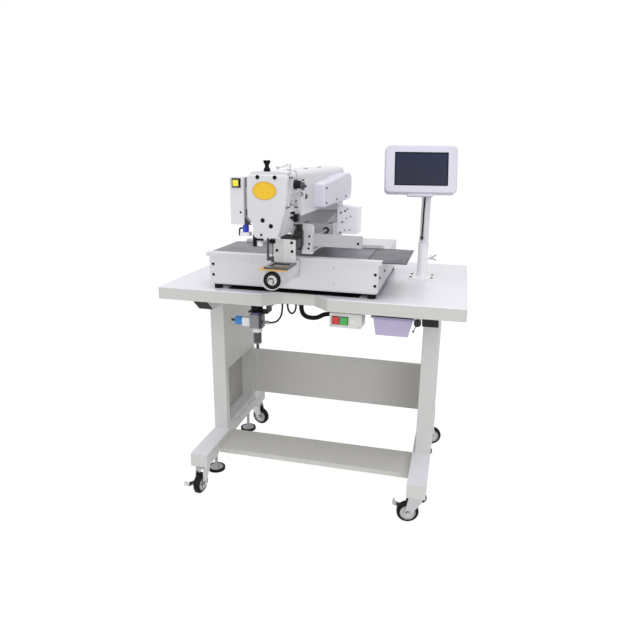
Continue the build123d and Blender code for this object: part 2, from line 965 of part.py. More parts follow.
# Switch box and its two push buttons
switch_rear = switch_front + switch_depth
switch_right = switch_x + switch_width
button_z = switch_top - switch_height / 2
button_pocket = button_length - button_proud + button_travel + sliding_gap
with BuildPart() as switch_box:
    block((switch_x, switch_right), (switch_front, switch_rear), (switch_top - switch_height, switch_top))
    fillet(switch_box.edges().filter_by(Axis.Y), switch_round)
    block(
        (switch_x + switch_flange, switch_right - switch_flange),
        (switch_front + switch_flange, switch_rear - switch_flange),
        (switch_top - overrun, table_under),
    )
    for number in range(2):
        button_x = switch_x + first_button + number * button_pitch
        block(
            around(button_x, button_width + 2 * button_gap),
            (switch_front - overrun, switch_front + button_pocket),
            around(button_z, button_height + 2 * button_gap),
            Mode.SUBTRACT,
        )
    lamp_x = switch_x + first_button + 2 * button_pitch
    bar((lamp_x, switch_front + overrun, button_z), (0, -1, 0), lamp_proud + overrun, lamp_diameter)
    block(
        (switch_right - overrun, switch_right + sheet),
        (switch_front + switch_flange, switch_rear - switch_flange),
        (button_z, table_under),
    )
    block(
        (switch_right - overrun, switch_right + switch_flange + sheet),
        (switch_front + switch_flange, switch_rear - switch_flange),
        (table_under - sheet, table_under),
    )
save(switch_box, "switch_box")

for number, name in enumerate(("stop_button", "start_button")):
    with BuildPart() as button:
        block(
            around(switch_x + first_button + number * button_pitch, button_width),
            (switch_front - button_proud, switch_front - button_proud + button_length),
            around(button_z, button_height),
        )
        fillet(button.faces().sort_by(Axis.Y)[0].edges(), button_gap)
    save(button, name)

# Drawer, its runners and its lock knob
drawer_rear = drawer_front + drawer_length
drawer_bottom = drawer_top - drawer_height
half_top = drawer_width / 2
half_bottom = half_top - drawer_taper
with BuildPart() as drawer:
    prism(
        Plane.XZ.offset(-drawer_front),
        (
            (drawer_x - half_top, drawer_top),
            (drawer_x - half_bottom, drawer_bottom),
            (drawer_x + half_bottom, drawer_bottom),
            (drawer_x + half_top, drawer_top),
        ),
        -drawer_length,
    )
    prism(
        Plane.XZ.offset(-drawer_front - drawer_wall),
        (
            (drawer_x - half_top + drawer_wall, drawer_top + overrun),
            (drawer_x - half_bottom + drawer_wall, drawer_bottom + drawer_wall),
            (drawer_x + half_bottom - drawer_wall, drawer_bottom + drawer_wall),
            (drawer_x + half_top - drawer_wall, drawer_top + overrun),
        ),
        2 * drawer_wall - drawer_length,
        mode=Mode.SUBTRACT,
    )
    for hand in (-1, 1):
        rim_in = drawer_x + hand * (half_top - drawer_wall)
        rim_out = drawer_x + hand * (half_top + drawer_rim)
        block((rim_in, rim_out), (drawer_front, drawer_rear), (drawer_top - drawer_rim_height, drawer_top))
save(drawer, "drawer")

runner_in = half_top + drawer_rim + sliding_gap
runner_foot_top = drawer_top - drawer_rim_height - sliding_gap
lug_front = drawer_front + runner_foot
with BuildPart() as drawer_runners:
    for hand in (-1, 1):
        web_in = drawer_x + hand * runner_in
        web_out = drawer_x + hand * (runner_in + runner_sheet)
        foot_in = drawer_x + hand * (runner_in - runner_foot)
        runner_y = (lug_front, drawer_rear)
        block((web_in, web_out), runner_y, (runner_foot_top - runner_sheet, table_under))
        block((foot_in, web_out), runner_y, (runner_foot_top - runner_sheet, runner_foot_top))
        flange_out = drawer_x + hand * (runner_in + runner_sheet + runner_flange)
        block((web_in, flange_out), runner_y, (table_under - runner_sheet, table_under))
    lug_x = (drawer_x + runner_in, lock_knob_x + lock_lug / 2)
    block(lug_x, (lug_front, lug_front + runner_foot), (lock_knob_z - lock_lug / 2, table_under))
    stud_hole = lock_stud + 2 * running_gap
    lug_cut = runner_foot + 2 * overrun
    bar((lock_knob_x, lug_front - overrun, lock_knob_z), (0, 1, 0), lug_cut, stud_hole, Mode.SUBTRACT)
save(drawer_runners, "drawer_runners")

knob_back = lug_front - running_gap
with BuildPart() as lock_knob:
    bar((lock_knob_x, knob_back, lock_knob_z), (0, -1, 0), lock_knob_length, lock_knob_diameter)
    chamfer(lock_knob.faces().sort_by(Axis.Y)[0].edges(), knob_lift)
    bar((lock_knob_x, knob_back, lock_knob_z), (0, 1, 0), runner_foot + 2 * running_gap, lock_stud)
    lever_lean = radians(lock_lever_lean)
    lever_dir = (-sin(lever_lean), 0, -cos(lever_lean))
    lever_start = (lock_knob_x, knob_back - lock_knob_length / 2, lock_knob_z)
    bar(lever_start, lever_dir, lock_lever_length, lock_lever)
    with Locations(Vector(*lever_start) + Vector(*lever_dir) * lock_lever_length):
        Sphere(lock_lever_end / 2)
save(lock_knob, "lock_knob")

# Operating panel: socket, post, wing screw, bracket, housing and screen
socket_bore = post_diameter + 2 * running_gap
socket_out = post_x + socket_diameter / 2
boss_end = socket_out + wing_boss_length
wing_tip = post_x + post_diameter / 2 + running_gap
with BuildPart() as post_socket:
    block(
        around(post_x, post_plate_width),
        around(post_y, post_plate_depth),
        (table_top, table_top + post_plate_height),
    )
    fillet(post_socket.edges().filter_by(Axis.Z), panel_edge)
    bar((post_x, post_y, table_top), (0, 0, 1), socket_top - table_top, socket_diameter)
    bar(
        (post_x, post_y, socket_top - socket_collar),
        (0, 0, 1),
        socket_collar,
        socket_diameter + 2 * socket_wall,
    )
    bar((post_x, post_y, wing_height), (1, 0, 0), boss_end - post_x, wing_boss)
    socket_floor = table_top + post_plate_height
    socket_cut = socket_top - socket_floor + overrun
    bar((post_x, post_y, socket_floor), (0, 0, 1), socket_cut, socket_bore, Mode.SUBTRACT)
    screw_hole = wing_screw + 2 * running_gap
    bar((post_x, post_y, wing_height), (1, 0, 0), boss_end - post_x + overrun, screw_hole, Mode.SUBTRACT)
save(post_socket, "post_socket")

with BuildPart() as wing:
    bar((wing_tip, post_y, wing_height), (1, 0, 0), boss_end + running_gap - wing_tip, wing_screw)
    bar((boss_end + running_gap, post_y, wing_height), (1, 0, 0), wing_head / 2, wing_head)
    wing_start = boss_end + running_gap + wing_head / 4
    wing_end = wing_start + wing_reach
    prism(
        Plane.XZ.offset(-post_y),
        (
            (wing_start, wing_height - wing_thickness),
            (wing_end, wing_height - wing_span / 2),
            (wing_end, wing_height - wing_span / 2 + wing_thickness),
            (wing_start + wing_head / 2, wing_height),
            (wing_end, wing_height + wing_span / 2 - wing_thickness),
            (wing_end, wing_height + wing_span / 2),
            (wing_start, wing_height + wing_thickness),
        ),
        wing_thickness / 2,
        both=True,
    )
save(wing, "wing_screw")

spigot_length = bracket_cap_height / 2
with BuildPart() as post:
    bar((post_x, post_y, post_bottom), (0, 0, 1), post_top - post_bottom, post_diameter)
    bar((post_x, post_y, post_top), (0, 0, 1), spigot_length, post_diameter / 2)
    clip_bottom = socket_top + cable_clip_lift
    block(
        around(post_x + cable_clip_shift, cable_clip_width),
        (post_y - post_diameter / 2 - panel_cable_diameter - overrun, post_y - post_diameter / 2 + overrun),
        (clip_bottom, clip_bottom + cable_clip_height),
    )
save(post, "post")

cap_bottom = post_top + running_gap
cap_top = cap_bottom + bracket_cap_height
neck_half = bracket_neck / 2
lean = radians(panel_tilt)
panel_up = Vector(0, sin(lean), cos(lean))
panel_out = Vector(0, -cos(lean), sin(lean))
tilt_pivot = Vector(post_x, tilt_y, tilt_z)
face_middle = tilt_pivot + panel_up * tilt_below_middle + panel_out * (tilt_behind_panel + panel_thickness)
panel_centre = (post_x + panel_shift, face_middle.Y, face_middle.Z)
panel_plane = Plane(origin=panel_centre, x_dir=(1, 0, 0), z_dir=panel_out)
with BuildPart() as panel_bracket:
    bar((post_x, post_y, cap_bottom), (0, 0, 1), bracket_cap_height, bracket_cap)
    block(
        (post_x - neck_half, post_x + neck_half),
        around(post_y, bracket_depth),
        (cap_top - overrun, tilt_z),
    )
    bar((post_x - neck_half, tilt_y, tilt_z), (1, 0, 0), bracket_neck, bracket_eye)
    spigot_hole = post_diameter / 2 + 2 * running_gap
    bar((post_x, post_y, cap_bottom), (0, 0, 1), spigot_length + running_gap, spigot_hole, Mode.SUBTRACT)
    pin_hole = tilt_pin + 2 * running_gap
    pin_cut = bracket_neck + 2 * overrun
    bar((post_x - pin_cut / 2, tilt_y, tilt_z), (1, 0, 0), pin_cut, pin_hole, Mode.SUBTRACT)
save(panel_bracket, "panel_bracket", panel_turned)

chin_drop = -panel_height / 2
with BuildPart() as panel_housing:
    with BuildSketch(panel_plane) as panel_face:
        RectangleRounded(panel_width, panel_height, panel_corner)
    extrude(amount=-panel_thickness)
    panel_axis = Axis(panel_plane.origin, panel_plane.z_dir)
    fillet(panel_housing.faces().sort_by(panel_axis)[-1].edges(), panel_edge)
    with BuildSketch(panel_plane.offset(-panel_edge)) as chin:
        with BuildLine():
            Polyline(
                (-chin_width / 2, chin_drop + panel_edge),
                (-chin_width / 2 + chin_height, chin_drop - chin_height),
                (chin_width / 2 - chin_height, chin_drop - chin_height),
                (chin_width / 2, chin_drop + panel_edge),
                close=True,
            )
        make_face()
    extrude(amount=-chin_thickness)
    with BuildSketch(panel_plane.offset(-screen_depth)):
        with Locations((0, screen_raise)):
            Rectangle(screen_width + 2 * sliding_gap, screen_height + 2 * sliding_gap)
    extrude(amount=screen_depth + overrun, mode=Mode.SUBTRACT)
    lug_reach = tilt_behind_panel + overrun
    for hand in (-1, 1):
        lug_start = post_x + hand * (neck_half + sliding_gap)
        lug_plane = Plane(origin=(lug_start, tilt_y, tilt_z), x_dir=panel_out, z_dir=(hand, 0, 0))
        with BuildSketch(lug_plane) as lug:
            Circle(tilt_lug / 2)
            with Locations((lug_reach / 2, 0)):
                Rectangle(lug_reach, tilt_lug)
        extrude(lug.sketch, amount=tilt_lug_width)
    pin_length = bracket_neck + 2 * sliding_gap + 2 * overrun
    bar((post_x - pin_length / 2, tilt_y, tilt_z), (1, 0, 0), pin_length, tilt_pin)
save(panel_housing, "panel_housing", panel_turned)

with BuildPart() as panel_screen:
    with BuildSketch(panel_plane.offset(-screen_depth)):
        with Locations((0, screen_raise)):
            Rectangle(screen_width, screen_height)
    extrude(amount=screen_depth - running_gap)
save(panel_screen, "panel_screen", panel_turned)

# Machine base with its cylinder bed and the beam that guides the feed
base_left = machine_x - base_width / 2
base_right = machine_x + base_width / 2
bed_bottom = base_top - bed_height
beam_front = beam_y - beam_depth / 2
beam_rear = beam_y + beam_depth / 2
beam_top = base_top + beam_height
with BuildPart() as bed_base:
    block((base_left, base_right), (base_front, base_rear), (base_bottom, base_top))
    fillet(bed_base.edges().filter_by(Axis.Z), base_ceiling / 2)
    block(
        (base_left + base_wall, base_right - base_wall),
        (base_front + base_wall, base_rear - base_wall),
        (base_bottom - overrun, base_top - base_ceiling),
        Mode.SUBTRACT,
    )
    with BuildSketch(Plane.XZ.offset(-bed_front)) as bed_end:
        with Locations((machine_x, base_top - bed_height / 2)):
            Rectangle(bed_width, bed_height)
        fillet(bed_end.vertices().group_by(Axis.Y)[0], bed_round_share * bed_width)
    extrude(bed_end.sketch, amount=bed_front - base_front - overrun)
    beam_x = around(machine_x + beam_shift, beam_width)
    block(beam_x, (beam_front, beam_rear), (base_top - overrun, beam_top))
    bar((hook_x, bed_front, hook_z), (0, 1, 0), hook_cavity_depth, hook_cavity, Mode.SUBTRACT)
    shaft_hole = hook_shaft + 2 * running_gap
    shaft_cut = hook_cavity_depth + hook_shaft_length
    bar((hook_x, bed_front, hook_z), (0, 1, 0), shaft_cut, shaft_hole, Mode.SUBTRACT)
    bar((machine_x, needle_y, hook_z), (0, 0, 1), base_top - hook_z + overrun, needle_window, Mode.SUBTRACT)
save(bed_base, "bed_base")

with BuildPart() as base_feet:
    for x in (base_left + rubber_foot_inset, base_right - rubber_foot_inset):
        for y in (base_front + rubber_foot_inset, base_rear - rubber_foot_inset):
            bar((x, y, table_top), (0, 0, 1), base_bottom - table_top, rubber_foot)
save(base_feet, "base_feet")

lip_bottom = slide_top + sliding_gap
lip_top = lip_bottom + lip_sheet
cover_front = base_front - cover_sheet
with BuildPart() as front_cover:
    cover_x = (base_left - cover_sheet, base_right + cover_sheet)
    block(cover_x, (cover_front, base_front), (cover_bottom, lip_top))
    for wall_x in (base_left - cover_sheet, base_right):
        wall_y = (cover_front, base_front + cover_return)
        block((wall_x, wall_x + cover_sheet), wall_y, (cover_bottom, base_top))
    lip_x = (base_left - lip_overhang, base_right + lip_overhang)
    block(lip_x, (cover_front, base_front + lip_depth), (lip_bottom, lip_top))
    band_y = (cover_front - cover_sheet / 2, base_front - cover_sheet / 2)
    block(lip_x, band_y, (lip_top - lip_band, lip_top))
    block(
        around(machine_x, bed_width + 2 * bed_gap),
        (cover_front - cover_sheet, base_front + overrun),
        (bed_bottom - bed_gap, base_top + bed_gap),
        Mode.SUBTRACT,
    )
save(front_cover, "front_cover")

slide_left = carriage_x - slide_width / 2 + carriage_shift
slide_front = base_front + bed_gap
with BuildPart() as slide_covers:
    edges = (slide_left, slide_left + slide_wing - lip_overhang, slide_left + slide_width - slide_wing)
    ends = (*edges[1:], slide_left + slide_width)
    for start, end in zip(edges, ends):
        slide_y = (slide_front, slide_front + slide_depth)
        block((start, end - slide_seam), slide_y, (slide_bottom, slide_top))
save(slide_covers, "slide_covers")

# Hook, its ring and the throat plate
with BuildPart() as throat_plate:
    throat_y = (bed_front - hook_ring_depth, bed_front - hook_ring_depth + throat_depth)
    block(around(hook_x, throat_width), throat_y, (base_top, base_top + throat_thickness))
    fillet(throat_plate.edges().filter_by(Axis.Z), throat_corner)
    throat_cut = throat_thickness + 2 * overrun
    bar((machine_x, needle_y, base_top - overrun), (0, 0, 1), throat_cut, needle_hole, Mode.SUBTRACT)
save(throat_plate, "throat_plate")

ring_bore = hook_diameter / 2 + running_gap
with BuildPart() as hook_ring:
    bar((hook_x, bed_front, hook_z), (0, -1, 0), hook_ring_depth, hook_ring_outer)
    ring_cut = hook_ring_depth + 2 * overrun
    bar((hook_x, bed_front + overrun, hook_z), (0, -1, 0), ring_cut, 2 * ring_bore, Mode.SUBTRACT)
save(hook_ring, "hook_ring")

hook_front = bed_front - hook_ring_depth + bed_gap
with BuildPart() as shuttle_hook:
    hook_radius = hook_diameter / 2
    turned(
        (hook_x, hook_front, hook_z),
        (0, 1, 0),
        (
            (0, bobbin_latch / 2),
            (bobbin_latch, bobbin_latch / 2),
            (bobbin_diameter / 2, hook_rim),
            (hook_radius - hook_rim, hook_cup_depth / 2),
            (hook_radius - hook_rim, 0),
            (hook_radius, 0),
            (hook_radius, hook_depth),
            (hook_shaft / 2, hook_depth),
            (hook_shaft / 2, hook_depth + hook_shaft_length),
            (0, hook_depth + hook_shaft_length),
        ),
    )
    block(
        around(hook_x, bobbin_latch),
        (hook_front, hook_front + hook_cup_depth),
        (hook_z, hook_z + bobbin_diameter / 2),
    )
save(shuttle_hook, "shuttle_hook")

# Feed: carriage along X, feed arm along Y, work clamp up and down
carriage_bottom = slide_top + sliding_gap
carriage_rear = carriage_front + carriage_depth
rod_places = [carriage_x + hand * rod_pitch / 2 for hand in (-1, 1)]
with BuildPart() as x_carriage:
    carriage_y = (carriage_front, carriage_rear)
    block(around(carriage_x, carriage_width), carriage_y, (carriage_bottom, carriage_top))
    fillet(x_carriage.edges().filter_by(Axis.Y).group_by(Axis.Z)[-1], carriage_foot)
    block(
        around(carriage_x, carriage_width + 2 * overrun),
        (beam_front - sliding_gap, beam_rear + sliding_gap),
        (carriage_bottom - overrun, beam_top + sliding_gap),
        Mode.SUBTRACT,
    )
    for x in rod_places:
        bush_start = carriage_front - bush_length
        bar((x, bush_start, rod_z), (0, 1, 0), carriage_depth + 2 * bush_length, bush_diameter)
        hole = rod_diameter + 2 * running_gap
        hole_length = carriage_depth + 2 * bush_length + 2 * overrun
        bar((x, bush_start - overrun, rod_z), (0, 1, 0), hole_length, hole, Mode.SUBTRACT)
save(x_carriage, "x_carriage")

cross_bar_rear = cross_bar_front + cross_bar_depth
arm_x = carriage_x + feed_arm_shift
rail_x = carriage_x + clamp_rail_shift
rail_y = (feed_arm_front - clamp_rail_depth, feed_arm_front)
rail_top = clamp_rail_bottom + clamp_rail_height
with BuildPart() as feed_arm:
    arm_edge = arm_x + feed_arm_width / 2
    cross_z = (cross_bar_bottom, cross_bar_bottom + cross_bar_height)
    block((carriage_x - cross_bar_left, arm_edge), (cross_bar_front, cross_bar_rear), cross_z)
    fillet(feed_arm.edges().filter_by(Axis.Z), carriage_foot)
    for x in rod_places:
        rod_front = cross_bar_front + overrun
        bar((x, rod_front, rod_z), (0, 1, 0), rod_rear - rod_front, rod_diameter)
    arm_x_span = around(arm_x, feed_arm_width)
    arm_z = (feed_arm_bottom, feed_arm_bottom + feed_arm_height)
    block(arm_x_span, (feed_arm_front, feed_arm_front + feed_arm_depth), arm_z)
    fillet(feed_arm.edges().filter_by(Axis.Y).group_by(Axis.Z)[-1], carriage_foot)
    bar_front = feed_arm_front + feed_bar_inset
    bar_z = (feed_bar_bottom, feed_bar_bottom + feed_bar_height)
    block((arm_x, carriage_x + feed_bar_right), (bar_front, bar_front + feed_bar_depth), bar_z)
    block(arm_x_span, (bar_front, cross_bar_rear), (feed_bar_bottom, feed_bar_bottom + feed_web_height))
    tube_place = (arm_edge - feed_tube / 2, bar_front, feed_arm_bottom + feed_tube / 2)
    bar(tube_place, (0, 1, 0), cross_bar_front + overrun - bar_front, feed_tube)
    block(
        (rail_x - clamp_rail_width / 2, arm_edge),
        (feed_arm_front, feed_arm_front + clamp_rail_depth),
        (clamp_rail_bottom, rail_top),
    )
    block(around(rail_x, clamp_rail_width), (rail_y[0], rail_y[1] + overrun), (clamp_rail_bottom, rail_top))
    mount_z = clamp_rail_bottom + cylinder_mount_lift
    block(
        (rail_x - cylinder_mount_reach, rail_x),
        (feed_arm_front, feed_arm_front + clamp_rail_depth),
        (mount_z, mount_z + cylinder_mount_height),
    )
    cylinder_foot = (rail_x - air_cylinder_shift, feed_arm_front + clamp_rail_depth / 2, mount_z)
    bar(cylinder_foot, (0, 0, 1), cylinder_mount_height + air_cylinder_height, air_cylinder)
save(feed_arm, "feed_arm")

slider_rear = rail_y[0] - sliding_gap
slider_front = slider_rear - slider_depth
clamp_plate_rear = clamp_plate_front + clamp_plate_depth
clamp_foot_top = clamp_foot_bottom + clamp_foot_height
foot_half = clamp_window_width / 2 + clamp_foot_rim
with BuildPart() as work_clamp:
    slider_z = (slider_bottom, slider_bottom + slider_height)
    block(around(rail_x, slider_width), (slider_front, slider_rear), slider_z)
    cheek_in = clamp_rail_width / 2 + sliding_gap
    for hand in (-1, 1):
        cheek_x = (rail_x + hand * cheek_in, rail_x + hand * slider_width / 2)
        block(cheek_x, (slider_front, rail_y[0] + clamp_rail_depth / 2), slider_z)
    arm_z = (slider_bottom, slider_bottom + clamp_arm_height)
    plate_wing = clamp_plate_front + clamp_plate_bend
    block(around(rail_x, clamp_arm_width), (plate_wing, slider_rear), arm_z)
    plate_left, plate_right = around(carriage_x, clamp_plate_width)
    prism(
        Plane.XY.offset(clamp_foot_bottom),
        (
            (plate_left, plate_wing),
            (carriage_x, clamp_plate_front),
            (plate_right, plate_wing),
            (plate_right, plate_wing + clamp_plate_depth),
            (carriage_x, clamp_plate_rear),
            (plate_left, plate_wing + clamp_plate_depth),
        ),
        clamp_plate_top - clamp_foot_bottom,
    )
    foot_x_span = (carriage_x - foot_half, carriage_x + foot_half)
    foot_y = (clamp_plate_rear - clamp_foot_reach, clamp_plate_rear + clamp_plate_bend)
    block(foot_x_span, foot_y, (clamp_foot_bottom, clamp_foot_top))
    window_rear = clamp_plate_front - clamp_foot_rim
    block(
        around(carriage_x, clamp_window_width),
        (window_rear - clamp_window_depth, window_rear),
        (clamp_foot_bottom - overrun, clamp_foot_top + overrun),
        Mode.SUBTRACT,
    )
save(work_clamp, "work_clamp")


def face_outline(inset, top):
    """Gives the head's front outline, drawn in from its full size by an inset, up to a chosen top."""
    half = face_width / 2 - inset
    low = face_bottom + inset
    rise = face_top - face_bottom
    return (
        (machine_x - half, top),
        (machine_x - half, low + left_step_shares[1] * rise),
        (machine_x - left_step_reach_share * half, low + left_step_shares[0] * rise),
        (machine_x - foot_left_share * half, low),
        (machine_x + foot_right_share * half, low),
        (machine_x + right_shoulder_reach_share * half, low + right_shoulder_share * rise),
        (machine_x + half, top),
    )


# Arm, column and head in one casting
with BuildPart() as arm_casting:
    prism(
        Plane.YZ.offset(machine_x),
        (
            (head_rear, arm_under),
            (column_front, arm_under),
            (column_front, base_top),
            (arm_rear, base_top),
            (arm_rear, arm_top),
            (head_rear, arm_top),
        ),
        arm_width / 2,
        both=True,
    )
    arch_corner = Vector(machine_x, column_front, arm_under)
    arch = arm_casting.edges().filter_by(Axis.X).sort_by_distance(arch_corner)[0]
    fillet(arch, arch_round)
    fillet(arm_casting.edges().filter_by(Axis.Y).group_by(Axis.Z)[-1], arm_round)
    column_left = machine_x - arm_width / 2 - column_spread
    block((column_left, machine_x), (column_front, arm_rear), (base_top, arm_under + column_shoulder))
    fillet(arm_casting.edges().filter_by(Axis.Z).sort_by(Axis.X)[:2], arm_round)
    with BuildSketch(Plane.XZ.offset(-arm_front)) as head_outline:
        with BuildLine():
            Polyline(*face_outline(face_inset, arm_top), close=True)
        make_face()
        fillet(head_outline.vertices().group_by(Axis.Y)[-1], arm_round)
    extrude(head_outline.sketch, amount=arm_front - head_rear)
    recess_front = takeup_y + takeup_recess_lead - takeup_recess_length
    block(
        (arm_right - takeup_recess_depth, arm_right + overrun),
        (recess_front, takeup_y + takeup_recess_lead),
        around(takeup_z, takeup_recess_height),
        Mode.SUBTRACT,
    )
    takeup_floor = arm_right - takeup_recess_depth
    bar((takeup_floor, tension_y, tension_z), (1, 0, 0), takeup_recess_depth, tension_disc)
    for x, y, diameter in ((machine_x, needle_y, needle_bar), (presser_x, presser_y, presser_bar)):
        hole = diameter + 2 * running_gap
        bar((x, y, face_bottom), (0, 0, 1), arm_top - face_bottom + overrun, hole, Mode.SUBTRACT)
    shaft_hole = main_shaft + 2 * running_gap
    shaft_cut = main_shaft_length + 2 * overrun
    bar((machine_x, arm_rear + overrun, shaft_z), (0, -1, 0), shaft_cut, shaft_hole, Mode.SUBTRACT)
    pin_hole = takeup_pin + 2 * running_gap
    pin_cut = takeup_pin_length + overrun
    bar((takeup_floor, takeup_y, takeup_z), (-1, 0, 0), pin_cut, pin_hole, Mode.SUBTRACT)
    stud_hole = tension_stud + 2 * running_gap
    stud_cut = tension_stud_length + overrun
    bar((arm_right, tension_y, tension_z), (-1, 0, 0), stud_cut, stud_hole, Mode.SUBTRACT)
save(arm_casting, "arm_casting")

with BuildPart() as face_cover:
    prism(Plane.XZ.offset(-arm_front), face_outline(0, face_top), face_depth, corner=face_corner)
    fillet(face_cover.faces().sort_by(Axis.Y)[0].edges(), face_edge)
save(face_cover, "face_cover")

# Motor cover on the arm's right side, higher towards its rounded rear end
with BuildPart() as motor_cover:
    rise_y = motor_front + motor_rise_share * (motor_rear - motor_front)
    prism(
        Plane.YZ.offset(arm_right),
        (
            (motor_front, motor_bottom),
            (motor_rear, motor_bottom),
            (motor_rear, motor_bottom + motor_height),
            (rise_y, motor_bottom + motor_height),
            (motor_front, motor_bottom + motor_nose_height),
        ),
        motor_depth,
    )
    fillet(motor_cover.edges().filter_by(Axis.X).group_by(Axis.Y)[-1], motor_end_round)
    fillet(motor_cover.edges().filter_by(Axis.X).group_by(Axis.Y)[0], motor_round)
    fillet(motor_cover.faces().sort_by(Axis.X)[-1].edges(), motor_round)
save(motor_cover, "motor_cover")

with BuildPart() as valve_box:
    valve_y = (valve_front, valve_front + valve_depth)
    block((arm_right, arm_right + valve_width), valve_y, (valve_bottom, valve_bottom + valve_height))
    fillet(valve_box.edges().group_by(Axis.X)[-1], valve_round)
save(valve_box, "valve_box")

# Side box on the head's left, with the halt button on its front
box_right = arm_left - side_box_gap
box_left = box_right - side_box_width
box_x = box_left + side_box_width / 2
halt_z = side_box_bottom + side_box_height - halt_drop
with BuildPart() as side_box:
    box_y = (side_box_front, side_box_front + side_box_depth)
    block((box_left, box_right), box_y, (side_box_bottom, side_box_bottom + side_box_height))
    fillet(side_box.edges().filter_by(Axis.Z), side_box_round)
    side_arm_y = around(side_box_front + side_box_depth / 2, side_arm_depth)
    block((box_right - overrun, arm_left), side_arm_y, (side_arm_bottom, side_arm_bottom + side_arm_height))
    bezel_y = (side_box_front - halt_bezel_proud, side_box_front + overrun)
    block(around(box_x, halt_bezel), bezel_y, around(halt_z, halt_bezel))
    block(
        around(box_x, halt_size + 2 * button_gap),
        (side_box_front - halt_bezel_proud - overrun, side_box_front + button_pocket),
        around(halt_z, halt_size + 2 * button_gap),
        Mode.SUBTRACT,
    )
    wiper_y = side_box_front + wiper_depth / 2
    wiper_top = side_box_bottom - wiper_drop
    bar((box_right, wiper_y, wiper_top - overrun), (0, 0, 1), wiper_drop + 2 * overrun, wiper_fitting)
    wiper_z = (wiper_top - wiper_height, wiper_top)
    block(around(box_right, wiper_width), around(wiper_y, wiper_depth), wiper_z)
    prism(
        Plane.XZ.offset(-side_box_front - overrun),
        (
            (box_right - overrun, side_box_bottom),
            (box_right + guard_reach, side_box_bottom),
            (box_right - overrun, side_box_bottom + guard_height),
        ),
        -guard_sheet,
    )
save(side_box, "side_box")

with BuildPart() as halt_button:
    halt_front = side_box_front - halt_bezel_proud - button_proud
    block(around(box_x, halt_size), (halt_front, halt_front + button_length), around(halt_z, halt_size))
    fillet(halt_button.faces().sort_by(Axis.Y)[0].edges(), button_gap)
save(halt_button, "halt_button")

# Needle bar with its needle
with BuildPart() as needle:
    bar((machine_x, needle_y, needle_bar_bottom), (0, 0, 1), needle_bar_length, needle_bar)
    bar((machine_x, needle_y, needle_bar_bottom), (0, 0, 1), needle_collar_height, needle_collar)
    turned(
        (machine_x, needle_y, needle_bar_bottom),
        (0, 0, -1),
        (
            (0, -overrun),
            (needle_diameter / 2, -overrun),
            (needle_diameter / 2, needle_length - 2 * needle_diameter),
            (0, needle_length),
        ),
    )
save(needle, "needle_bar")

# Presser foot: bar, arm and the ring round the needle
with BuildPart() as presser:
    presser_top = presser_bottom + presser_ring_height
    arm_bottom = presser_top - presser_arm_height
    bar_length = arm_top - presser_bar_drop - arm_bottom
    bar((presser_x, presser_y, arm_bottom), (0, 0, 1), bar_length, presser_bar)
    bar((machine_x, needle_y, presser_bottom), (0, 0, 1), presser_ring_height, presser_ring)
    reach = hypot(presser_shift_x, presser_shift_y)
    along = (-presser_shift_x / reach, -presser_shift_y / reach, 0)
    foot_plane = Plane(origin=(presser_x, presser_y, arm_bottom), x_dir=along, z_dir=(0, 0, 1))
    with BuildSketch(foot_plane) as foot_arm:
        with Locations((reach / 2, 0)):
            Rectangle(reach, presser_arm)
    extrude(foot_arm.sketch, amount=presser_arm_height)
    needle_room = presser_ring_height + 2 * overrun
    ring_start = (machine_x, needle_y, presser_bottom - overrun)
    bar(ring_start, (0, 0, 1), needle_room, presser_ring_hole, Mode.SUBTRACT)
save(presser, "presser_foot")

with BuildPart() as presser_knob:
    knob_base = arm_top + running_gap
    turned(
        (presser_x, presser_y, knob_base),
        (0, 0, 1),
        (
            (0, -presser_stud_length),
            (presser_stud / 2, -presser_stud_length),
            (presser_stud / 2, 0),
            (presser_knob_diameter / 2, 0),
            (presser_knob_diameter / 2, presser_knob_cap),
            (presser_knob_waist / 2, 2 * presser_knob_cap),
            (presser_knob_waist / 2, presser_knob_height - 2 * presser_knob_cap),
            (presser_knob_diameter / 2, presser_knob_height - presser_knob_cap),
            (presser_knob_diameter / 2, presser_knob_height),
            (0, presser_knob_height),
        ),
    )
save(presser_knob, "presser_knob")

# Take-up lever in the head's right side
lever_x = arm_right - takeup_recess_depth + sliding_gap
with BuildPart() as take_up_lever:
    with BuildSketch(Plane.YZ.offset(lever_x)) as lever_face:
        with BuildLine():
            Polyline(
                (takeup_y, takeup_z + takeup_width / 2),
                (takeup_y - takeup_reach, takeup_z + takeup_rise + takeup_width / 2),
                (takeup_y - takeup_reach, takeup_z + takeup_rise - takeup_width / 2),
                (takeup_y, takeup_z - takeup_width / 2),
                close=True,
            )
        make_face()
        with Locations((takeup_y, takeup_z)):
            Circle(takeup_hub / 2)
        with Locations((takeup_y - takeup_reach, takeup_z + takeup_rise)):
            Circle(takeup_width / 2)
            Circle(takeup_eye / 2, mode=Mode.SUBTRACT)
    extrude(amount=takeup_sheet)
    pin_length = takeup_sheet + sliding_gap + takeup_pin_length
    bar((lever_x + takeup_sheet, takeup_y, takeup_z), (-1, 0, 0), pin_length, takeup_pin)
save(take_up_lever, "take_up_lever")

with BuildPart() as tension_knob:
    tension_base = arm_right + running_gap
    bar((tension_base, tension_y, tension_z), (1, 0, 0), tension_disc_depth, tension_disc)
    tension_length = tension_disc_depth + tension_knob_depth
    bar((tension_base, tension_y, tension_z), (1, 0, 0), tension_length, tension_knob_diameter)
    chamfer(tension_knob.faces().sort_by(Axis.X)[-1].edges(), lip_sheet)
    bar((tension_base, tension_y, tension_z), (-1, 0, 0), tension_stud_length, tension_stud)
save(tension_knob, "tension_knob")

